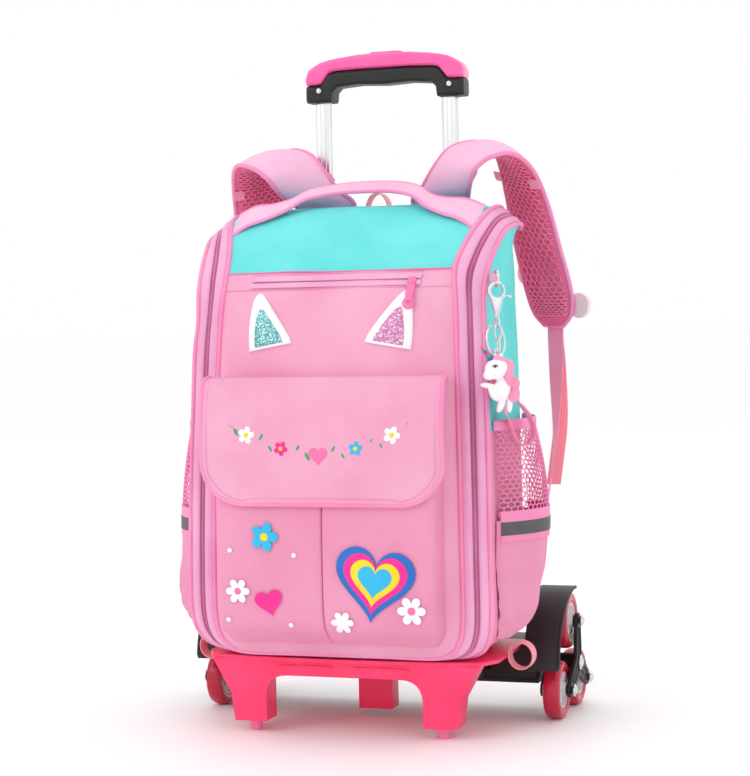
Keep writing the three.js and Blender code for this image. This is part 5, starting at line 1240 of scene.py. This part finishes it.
WEB_WALL = 1.7
STRAP_WEB_WIDE, TAIL_WIDE, TAIL_LONG = 20, 16, 178


def webbing(rows, places, width):
    """Flat webbing through places; the fourth number of each row is its turn about Z."""
    count = len(rows)
    return strap(list(zip(places, turned(rows[:, 3]), [width] * count, [WEB_WALL] * count)), corner=0.2)


def strap_webbing():
    tip = STRAP_REACH * (1, 1, 0) + STRAP_FOOT
    foot = np.array([0.963 * BAG_WIDE / 2 + 4, -BAG_BACK - 10, BAG_FLOOR + 0.16 * BAG_TALL])
    rows = spline([
        (0, 0, -0.12, 16), (0.02, 0, 0, 16), (0.02, 0.02, 0.2, 30), (0.06, 0.1, 0.45, 62),
        (0.25, 0.35, 0.68, 80), (0.62, 0.72, 0.86, 88), (1, 1, 1, 90),
    ], 60)
    places = mix(tip + (0, STRAP_THICK / 2 + 1.6, 0), foot, rows[:, :3])
    add_pair("strap_webbing", webbing(rows, places, STRAP_WEB_WIDE), TAPE, "pale_pink_cloth", "strap_webbing")
    rows = spline([
        (0, 0, -0.1, 20), (0, 0, 0.04, 12), (0.01, 0.02, 0.3, 0), (0.01, 0.03, 0.6, -6),
        (-0.02, 0.03, 0.85, -4), (-0.04, 0.02, 1, -4),
    ], 50)
    places = tip + (0, STRAP_THICK / 2 + 4.0, 0) + rows[:, :3] * (TAIL_LONG, TAIL_LONG, -TAIL_LONG)
    add_pair("webbing_tail", webbing(rows, places, TAIL_WIDE), CORAL, "coral_webbing", "webbing_tail")


def web_loop(node):
    """A flattened loop of webbing in its CAD node's box, its two runs close together."""
    low, high = span(node)
    reach = (high - low) / 2 - 0.9
    places = (low + high) / 2 + oval(reach[0], reach[2], 48)
    return strap([(p, (0, 1, 0), high[1] - low[1], WEB_WALL) for p in places], corner=0.2, closed=True)


def loops():
    add_pair("corner_loop", web_loop("corner_loop_right"), CORAL, "coral_webbing", "corner_loop")
    add_piece("hang_loop_webbing", web_loop("hang_loop"), CORAL, "coral_webbing", "hang_loop")


grab_handle()
shoulder_straps()
strap_webbing()
loops()


# Hard parts: a bevelled copy of a CAD node's mesh
def refined(node, materials, bevel, body=BAG, kinds=None, steps=2, angle=28):
    """A node's own shape with its flat faces whole again and its edges rounded by a bevel in millimetres."""
    mesh = frame["nodes"][node].data.copy()
    mesh.name = f"{node}_moulding"
    shape = bmesh.new()
    shape.from_mesh(mesh)
    bmesh.ops.remove_doubles(shape, verts=shape.verts, dist=0.00001)
    bmesh.ops.dissolve_limit(shape, angle_limit=math.radians(2), verts=shape.verts, edges=shape.edges)
    if bevel:
        sharp = [e for e in shape.edges if e.is_manifold and e.calc_face_angle(0) > math.radians(angle)]
        bmesh.ops.bevel(shape, geom=sharp, offset=bevel * MM, segments=steps, profile=0.6, affect="EDGES",
                        clamp_overlap=True)
    bmesh.ops.triangulate(shape, faces=[f for f in shape.faces if len(f.verts) > 4])
    bmesh.ops.recalc_face_normals(shape, faces=shape.faces)
    shape.to_mesh(mesh)
    shape.free()
    mesh.materials.clear()
    dress(mesh, materials)
    mesh.polygons.foreach_set("material_index", np.zeros(len(mesh.polygons), np.int32))
    if kinds is not None:
        for face in mesh.polygons:
            face.material_index = kinds(face.center / MM - Vector((0, TUBES_Y, 0)))
    mesh.shade_smooth()
    mesh.set_sharp_from_angle(angle=math.radians(40))
    return settle(linked(mesh.name, mesh), body, node)


def lathe(profile, centre, sides=64, hand=1):
    """A body turned about a line along X through a centre; the profile gives radius and place along it."""
    profile = np.asarray(profile, float)
    angles = all_round(sides)
    radius, along = profile[:, 0], profile[:, 1] * hand
    rings = np.stack([
        along[:, None] + 0 * angles, radius[:, None] * np.cos(angles), radius[:, None] * np.sin(angles),
    ], -1) + np.asarray(centre, float)
    points, faces = loft(rings, closed=True)
    return points, faces, points[:, [1, 2]]


WHEEL_PLACES = {"top": 90, "front": 210, "rear": 330}
WHEEL_RADIUS = 31
SPOKES = 5
STAR_ARM = 80 / math.sqrt(3)  # the wheels' axles are 80 apart
STAR_Z = WHEEL_RADIUS + STAR_ARM / 2
WHEEL_X = star_joint["pos_m"][0] / MM


def on_star(x, radius, angle, across=0.0):
    """A place at a radius and an angle from the stars' axle, and a distance across that line."""
    c, s = math.cos(angle), math.sin(angle)
    return (x, STAR_Y + radius * c - across * s, STAR_Z + radius * s + across * c)


def wheels():
    """Wheels: a glossy red tyre with a rounded tread, a light grey hub, a rim groove and five spokes."""
    tyre = [
        (19.5, -7.0), (22, -8.6), (26, -9.4), (29, -8.4), (30.4, -6), (30.95, -3), (31, 0), (30.95, 3),
        (30.4, 6), (29, 8.4), (26, 9.4), (22, 8.6), (19.5, 7.0), (18.6, 5.5), (18.6, -5.5),
    ]
    hub = [
        (4.5, -11), (7.2, -10.9), (8, -10.2), (8.4, -6.6), (16.4, -5.4), (17.2, -7.4), (19.2, -7.6),
        (19.7, -6.4), (18.7, -5),
    ]
    hub += [(radius, -along) for radius, along in hub[::-1]]
    for side, hand in SIDES:
        for name, angle in WHEEL_PLACES.items():
            start = math.radians(angle)
            centre = on_star(hand * WHEEL_X, STAR_ARM, start)
            parts = [(*lathe(tyre, centre), 0), (*lathe(hub, centre), 1)]
            for a in start + all_round(SPOKES):
                for face in (-1, 1):
                    spoke = [
                        (centre[0] + face * 6.4, centre[1] + r * math.cos(a), centre[2] + r * math.sin(a))
                        for r in (7.4, 10, 13, 16.8)
                    ]
                    parts.append((*tube(spoke, [1.5, 1.3, 1.2, 1.4], sides=8), 1))
            node = f"wheel_{side}_{name}"
            body = f"{node}_body"
            add_joined(f"{node}_tyre", parts, [TYRE, HUB], "wheel_red", node=node, body=body, sharp=40)


def bolt_head(place, radius, height, hand):
    """A domed bolt head with a washer, its back on a face square to X."""
    profile = [
        (0.05, height), (radius * 0.5, height * 0.92), (radius * 0.85, height * 0.6), (radius, height * 0.2),
        (radius * 1.25, height * 0.18), (radius * 1.25, 0), (0.05, 0),
    ]
    return lathe(profile, place, 24, hand)


def stars():
    """Moulded stars with a rib along each edge of their arms, and the bolts of the wheels and the axle."""
    for side, hand in SIDES:
        node, body = f"star_{side}", f"wheel_star_{side}"
        refined(node, BLACK, 0.8, body=body)
        outer = span(node)[1 if hand > 0 else 0][0]
        bolts, ribs = [], []
        for angle in WHEEL_PLACES.values():
            a = math.radians(angle)
            bolts.append((*bolt_head(on_star(outer, STAR_ARM, a), 5.4, 3.4, hand), 0))
            for offset in (-4.2, 4.2):
                run = [on_star(outer - hand * 3, r, a, offset) for r in (8, 20, 30, 38)]
                ribs.append((*tube(run, 1.2, sides=8), 0))
        bolts.append((*bolt_head((outer - hand * 2, STAR_Y, STAR_Z), 6.4, 3.2, hand), 0))
        add_joined(f"{node}_bolts", bolts, STEEL, "steel", body=body, sharp=50)
        add_joined(f"{node}_ribs", ribs, BLACK, "black_plastic", body=body)


FENDER_ROOM = 4.5  # between the wheels' outer circle and the fender's lip


def fenders():
    for side, hand in SIDES:
        node = f"fender_{side}"
        refined(node, BLACK, 0.9, angle=35)
        low, high = span(node)
        edge = high[0] if hand > 0 else low[0]
        reach = STAR_ARM + WHEEL_RADIUS + FENDER_ROOM
        arc = [on_star(edge - hand * 0.5, reach, a) for a in np.radians(np.linspace(86, 175, 40))]
        add_piece(f"{node}_lip", tube(arc, 2.0, sides=12), BLACK, "black_plastic")


def pull_tubes():
    """Drawn tubes with two fine beads down each broad face, and a black collar on each sleeve."""
    for side, _ in SIDES:
        for node, body in ((f"sleeve_tube_{side}", BAG), (f"inner_tube_{side}", "handle")):
            refined(node, ALUMINIUM, 0.8, body=body, angle=20, steps=3)
        low, high = span(f"inner_tube_{side}")
        middle = (low[0] + high[0]) / 2
        beads = []
        for face_y in (low[1], high[1]):
            for offset in (-2.6, 2.6):
                run = [(middle + offset, face_y, z) for z in np.linspace(low[2] + 4, high[2] - 18, 12)]
                beads.append((*tube(run, 0.55, sides=8), 0))
        add_joined(f"inner_tube_{side}_beads", beads, ALUMINIUM, "aluminium", body="handle")
        low, high = span(f"sleeve_tube_{side}")
        top = high[2]
        rings = []
        for z, grow, corner in (
            # the collar's outside upwards, then its bore downwards
            (top - 14, 0.4, 4), (top - 13, 1.6, 4), (top - 1, 1.6, 4), (top + 0.6, 0.5, 4),
            (top + 0.6, -1.9, 3), (top - 14, -1.9, 3),
        ):
            half = (high - low)[:2] / 2 + grow
            ring = box_outline(-half[0], half[0], -half[1], half[1], corner, 6)
            rings.append([(x + (low[0] + high[0]) / 2, y + (low[1] + high[1]) / 2, z) for x, y in ring])
        points, faces = loft(rings, closed=True)
        shape = (points, faces, points[:, [0, 2]])
        add_piece(f"sleeve_tube_{side}_collar", shape, BLACK, "black_plastic")


GRIP_SCREW_X, GRIP_SCREW_Z = 76, 689


def grip():
    refined("grip_core", BLACK, 1.6, body="handle", steps=3)
    refined("grip_cover", GRIP, 2.2, body="handle", steps=4)
    refined("release_button", GRIP, 0.8, body="button", steps=3)
    low, _ = span("grip_core")
    parts = []
    for x in (-GRIP_SCREW_X, GRIP_SCREW_X):
        place = np.array([x, low[1] - 0.1, GRIP_SCREW_Z])
        parts.append((*tube(place + oval(4.0, 4.0, 24), 0.7, sides=8, closed=True), 0))
        dome = [(0.05, 1.0), (1.6, 0.9), (2.8, 0.5), (3.2, 0), (0.05, 0)]
        points, faces, _ = lathe(dome, (0, 0, 0), 20)
        points = np.stack([points[:, 1], -points[:, 0], points[:, 2]], -1) + place
        parts.append((points, faces, points[:, [0, 2]], 1))
    add_joined("grip_screws", parts, [BLACK, STEEL], "steel", body="handle")


PLUG_TOP, PLUG_REAR = 11, -120  # the tray's two foot plugs are below and ahead of these
AXLE_BARE = 176  # beyond this the axle is bare steel


def tray():
    """The tray's smooth moulding with softer foot plugs, the axle's beam, and two ribs under the deck."""
    refined(
        "tray", [TRAY, PULL], 1.8, steps=3,
        kinds=lambda p: int(p[2] < PLUG_TOP and p[1] < PLUG_REAR),
    )
    refined("axle_frame", [BLACK, STEEL], 1.2, kinds=lambda p: int(abs(p[0]) > AXLE_BARE))
    low, high = span("tray")
    ribs = []
    for x in (-42, 42):
        run = [(x + 30 * s, low[1] + 5.4, high[2] - 9 - abs(s) * 0.5) for s in np.linspace(-1, 1, 9)]
        ribs.append((*tube(run, 0.9, sides=8), 0))
    add_joined("tray_ribs", ribs, TRAY, "hot_pink_plastic")


def small_hardware():
    for side, _ in SIDES:
        refined(f"chest_clip_{side}", CLEAR, 1.3, steps=3)
    refined("charm_tab", PINK, 0.3)
    refined("lobster_clasp", STEEL, 0.5)
    refined("clasp_lever", STEEL, 0.3, body="lever")


wheels()
stars()
fenders()
pull_tubes()
grip()
tray()
small_hardware()


# Charm beside the zip band: drawn in X and Z round its own upright line, then turned and moved
CHARM_AT = (173, -191)
CHARM_TURN = math.radians(37)
CHARM_TOP = 472


def on_charm(points):
    points = np.asarray(points, float)
    c, s = math.cos(CHARM_TURN), math.sin(CHARM_TURN)
    x, y = points[..., 0] * c - points[..., 1] * s, points[..., 0] * s + points[..., 1] * c
    return np.stack([x + CHARM_AT[0], y + CHARM_AT[1], points[..., 2]], -1)


def charm_box(node):
    """Lowest and highest corner of a CAD node on the charm's own axes."""
    mesh = frame["nodes"][node].data
    places = np.empty(3 * len(mesh.vertices))
    mesh.vertices.foreach_get("co", places)
    x, y, z = (places.reshape(-1, 3) / MM - (CHARM_AT[0], CHARM_AT[1] + TUBES_Y, 0)).T
    c, s = math.cos(CHARM_TURN), math.sin(CHARM_TURN)
    turned_back = np.stack([x * c + y * s, y * c - x * s, z], -1)
    return turned_back.min(0), turned_back.max(0)


def wire_ring(node, half_wide, half_tall, wire, turned_by=0.0, tilt=0.0):
    """A round wire bent to an oval, hung where its CAD node hangs."""
    low, high = charm_box(node)
    x, _, z = oval(half_wide, half_tall).T
    a, b = math.radians(turned_by), math.radians(tilt)
    y = -z * math.sin(b)
    level = [x * math.cos(a) - y * math.sin(a), x * math.sin(a) + y * math.cos(a)]
    path = np.stack([*level, z * math.cos(b)], -1)
    shape = tube(on_charm(path + (low + high) / 2), wire, sides=12, closed=True)
    add_piece(f"{node}_wire", shape, STEEL, "steel", node)


def remeshed(name, lumps, material, node=None):
    """Lumps melted into one smooth moulding; a lump is its middle, half sizes and tilt."""
    points, faces = [], []
    angles = all_round(24)
    levels = np.sin(np.linspace(-math.pi / 2, math.pi / 2, 15)[1:-1])
    for middle, size, tilt in lumps:
        t = math.radians(tilt)
        rings = []
        for level in levels:
            flat = math.sqrt(1 - level * level)
            x, y, z = size[0] * flat * np.cos(angles), size[1] * flat * np.sin(angles), size[2] * level
            ring = [x * math.cos(t) + z * math.sin(t), y, z * math.cos(t) - x * math.sin(t)]
            rings.append(np.stack(ring, -1) + middle)
        part, part_faces = loft(rings)
        faces += [[k + sum(map(len, points)) for k in f] for f in part_faces]
        points.append(part)
    mesh = bpy.data.meshes.new(name)
    mesh.from_pydata(to_frame(on_charm(np.concatenate(points))).tolist(), [], faces)
    turn_out(mesh)
    holder = linked(name, mesh)
    melt = holder.modifiers.new("melt", "REMESH")
    melt.mode, melt.voxel_size = "VOXEL", MELT_VOXEL * MM
    soften = holder.modifiers.new("soften", "SMOOTH")
    soften.factor, soften.iterations = 0.6, 6
    whole = bpy.data.meshes.new_from_object(holder.evaluated_get(bpy.context.evaluated_depsgraph_get()))
    holder.modifiers.clear()
    holder.data = whole
    whole.name = name
    whole.materials.clear()
    dress(whole, material)
    whole.shade_smooth()
    return settle(holder, node=node)


PONY_TALL = 66
MELT_VOXEL = 0.8
PONY_WHITE = [
    # across, ahead, up, half width, half thickness, half height, tilt
    (-0.06, 0, 0.69, 0.19, 0.14, 0.17, -20), (-0.17, 0, 0.6, 0.11, 0.1, 0.085, -15),
    (0.02, 0, 0.36, 0.14, 0.12, 0.2, 20), (0.0, 0.02, 0.13, 0.055, 0.06, 0.14, 25),
    (0.15, -0.02, 0.13, 0.055, 0.06, 0.14, 0), (-0.14, 0.02, 0.3, 0.05, 0.05, 0.12, -25),
    (-0.2, -0.02, 0.43, 0.13, 0.05, 0.045, 8), (0.0, 0.03, 0.85, 0.035, 0.03, 0.08, 12),
    (-0.05, -0.05, 0.86, 0.035, 0.03, 0.08, -8),
]
PONY_PINK = [
    (0.12, 0, 0.56, 0.08, 0.13, 0.23, 12), (-0.02, 0, 0.83, 0.13, 0.1, 0.065, 12),
    (0.23, 0, 0.46, 0.1, 0.05, 0.11, -35), (0.22, 0, 0.27, 0.1, 0.08, 0.13, 25),
    (0.16, 0, 0.74, 0.07, 0.11, 0.1, -20),
]


def pony():
    """A soft toy pony with a striped horn, in the space that its solid holds."""
    low, high = charm_box("pony")
    foot = np.array([0, (low[1] + high[1]) / 2, low[2] + 1.5])
    scale = PONY_TALL * 0.98

    def lumps(rows):
        return [
            (foot + np.array((x, -y, z)) * scale, np.array(sizes) * scale, tilt)
            for x, y, z, *sizes, tilt in rows
        ]

    remeshed("pony_body", lumps(PONY_WHITE), TOY_WHITE, "pony")
    remeshed("pony_mane", lumps(PONY_PINK), TOY_PINK)
    parts = []
    tip = foot + np.array((-0.31, 0, 1.01)) * PONY_TALL
    root = foot + np.array((-0.14, 0, 0.83)) * PONY_TALL
    for k in range(6):
        a, b = k / 6, (k + 1) / 6
        run = on_charm([mix(root, tip, s) for s in np.linspace(a, b - 0.004, 5)])
        radius = np.interp(np.linspace(a, b, 5), [0, 1], [3.4, 0.5]) * (1, 1.07, 1.1, 1.07, 1)
        parts.append((*tube(run, radius, sides=16), k % 3))
    inks = [PRINT["blue"], PRINT["green"], PRINT["magenta"], TOY_INK]
    for ahead in (-1, 1):
        eye = foot + np.array((-0.13, -0.132 * ahead, 0.7)) * PONY_TALL
        lash = [eye + (3.0 * math.cos(a), 0, 2.2 * math.sin(a)) for a in np.radians(np.linspace(20, 160, 9))]
        parts.append((*tube(on_charm(lash), 0.55, sides=8), 3))
        dot = [eye + (s, 0, 0.4) for s in (-1.1, -0.4, 0.4, 1.1)]
        parts.append((*tube(on_charm(dot), [0.5, 1.1, 1.1, 0.5], sides=10), 3))
    add_joined("pony_horn_and_eyes", parts, inks, "soft_pink")
    loop = oval(3, 3) + (0, high[1] - 2.2, high[2] - 4.2)
    add_piece("pony_loop", tube(on_charm(loop), 1.1, closed=True), STEEL, "steel")


BAND_DROP = 90
BAND_ROWS = [
    # across, back, down, turn, width, in shares of the band's drop
    (0, 0, -0.066, 0, 0.5), (0, 0.044, 0.01, 0, 0.5), (0.02, 0.04, 0.12, 0, 0.6),
    (0.09, 0.04, 0.28, 20, 0.85), (0.22, 0.04, 0.44, 60, 0.95), (0.36, 0.04, 0.58, 90, 1),
    (0.46, 0.04, 0.74, 90, 1), (0.48, 0.04, 0.9, 90, 1), (0.39, 0.04, 1, 90, 1),
    (0.27, 0.04, 0.96, 90, 1), (0.2, 0.03, 0.8, 90, 1),
    (0.13, 0.006, 0.62, 60, 0.9), (0.03, -0.02, 0.44, 20, 0.8), (-0.01, -0.034, 0.26, 0, 0.7),
    (-0.005, -0.036, 0.12, 0, 0.6), (0, -0.044, 0.01, 0, 0.5),
]


def wrist_band():
    """A soft band on the charm, a closed loop that twists as it hangs."""
    low, high = charm_box("wrist_band")
    rows = spline(BAND_ROWS, 128, closed=True)
    path = rows[:, :3] * (BAND_DROP, BAND_DROP, -BAND_DROP)
    path[:, 1] += (low[1] + high[1]) / 2
    path[:, 2] += high[2] - 0.066 * BAND_DROP - 1.0
    turn = np.radians(rows[:, 3])
    across = on_charm(np.stack([np.cos(turn), np.sin(turn), 0 * turn], -1)) - on_charm(np.zeros(3))
    stations = list(zip(on_charm(path), across, 14 * rows[:, 4], [2.0] * len(rows)))
    shape = strap(stations, corner=0.5, closed=True)
    add_piece("wrist_band_moulding", shape, TOY_PINK, "soft_pink", "wrist_band", sharp=60)


RING_ROOT_Y = -166  # where the cloth tab of the ring leaves the bag's side
root_out = side_x(RING_ROOT_Y, CHARM_TOP) - CHARM_AT[0]
root_turn = math.degrees(math.atan2(RING_ROOT_Y - CHARM_AT[1], root_out) - CHARM_TURN)
wire_ring("charm_ring", 8, 8, 1.3, turned_by=root_turn)
wire_ring("split_ring", 9.5, 17, 1.3, tilt=-12)
wire_ring("chain_link_upper", 3.5, 8, 0.9)
wire_ring("chain_link_lower", 3.5, 8, 0.9, turned_by=90)
pony()
wrist_band()


# Printed motifs: a thin layer of ink on the pocket and the flap
def petals(centre, count, reach, width, start=0.0):
    """The outline of a flower with round petals."""
    angles = all_round(24 * count)
    wave = np.abs(np.cos(count * (angles + start) / 2)) ** width
    radius = reach * (0.45 + 0.55 * wave)
    return np.stack([centre[0] + radius * np.cos(angles), centre[1] + radius * np.sin(angles)], -1)


def heart(centre, size, tilt=0.0):
    t = all_round(72)
    x = np.sin(t) ** 3
    z = (13 * np.cos(t) - 5 * np.cos(2 * t) - 2 * np.cos(3 * t) - np.cos(4 * t)) / 16
    c, s = math.cos(math.radians(tilt)), math.sin(math.radians(tilt))
    return np.stack([centre[0] + size * (x * c - z * s), centre[1] + size * (x * s + z * c)], -1)


def flower(centre, ink, count, reach, lift, middle_ink, share, start=0.0):
    """The marks of a flower: its petals and, on them, its round middle."""
    middle = petals(centre, 24, reach * share, 0.1)
    outline = petals(centre, count, reach, 0.6, start)
    return [(ink, outline, lift, centre), (middle_ink, middle, lift + 0.4, centre)]


def printed(name, marks, surface):
    """Marks (ink, outline, lift, centre) as thin pads of ink on a surface."""
    inks = list(dict.fromkeys(ink for ink, *_ in marks))
    parts = [
        (*wrapped(outline, surface, lift, 0.35, rings=5, centre=centre, edge=0.4), inks.index(ink))
        for ink, outline, lift, centre in marks
    ]
    add_joined(name, parts, [PRINT[ink] for ink in inks], "pink_cloth")


INK_ON_POCKET, INK_ON_FLAP = 1.4, 0.5  # how far the ink's back lies ahead of the cloth's plain surface


def pocket_marks():
    """Flowers, dots, a small heart and a heart of four colours on the pocket's foot."""
    marks = []
    for place, ink, count, reach, middle in (
        ((-62, 214), "cyan", 5, 15, "yellow"), ((-92, 158), "white", 6, 13, "rose"),
        ((94, 142), "white", 6, 15, "rose"),
    ):
        marks += flower(place, ink, count, reach, INK_ON_POCKET, middle, 0.28)
    marks.append(("magenta", heart((-58, 148), 15, 12), INK_ON_POCKET, (-58, 148)))
    for k, ink in enumerate(("blue", "magenta", "yellow", "cyan")):
        marks.append((ink, heart((56, 172), 42 - 8 * k, -8), INK_ON_POCKET + 0.35 * k, (56, 170)))
    marks.append(("white", petals((20, 128), 6, 12, 0.6), INK_ON_POCKET, (20, 128)))
    for place in ((-30, 196), (-100, 200), (-36, 124), (-104, 128)):
        marks.append(("white", petals(place, 24, 2.6, 0.1), INK_ON_POCKET, place))
    printed("pocket_print", marks, pocket_y)


def garland_z(x):
    """The drooping line of the flap's garland."""
    return 300 + 0.003 * x * x


def flap_marks():
    """A garland across the flap: leaves on a drooping stem, with small flowers and a heart in its middle."""
    marks = []
    for x, ink, reach in ((-78, "white", 9), (-40, "magenta", 7.5), (40, "cyan", 7.5), (78, "white", 9)):
        marks += flower((x, garland_z(x)), ink, 5, reach, INK_ON_FLAP, "yellow", 0.3, x)
    marks.append(("rose", heart((0, 298), 10), INK_ON_FLAP, (0, 298)))
    printed("flap_print", marks, flap_y)
    stem = 98 * np.linspace(-1, 1, 90)
    runs = [(stem, garland_z(stem), 0.55 + 0 * stem)]
    s = np.linspace(0, 1, 12)
    for k, x in enumerate((-92, -64, -54, -24, -14, 14, 24, 54, 64, 92)):
        rise = 8 if k % 2 else -8
        runs.append((x + 5 * s, garland_z(x) + rise * s, 0.3 + 1.6 * np.sin(math.pi * s) ** 0.8))
    parts = []
    for x, z, radius in runs:
        points, faces, uvs = tube(np.stack([x, flap_y(x, z) - 0.2, z], -1), radius)
        face = flap_y(points[:, 0], points[:, 2]) - 0.2
        points[:, 1] = face + 0.2 * (points[:, 1] - face)
        parts.append((points, faces, uvs, 0))
    add_joined("flap_garland", parts, PRINT["green"], "pink_cloth")


pocket_marks()
flap_marks()
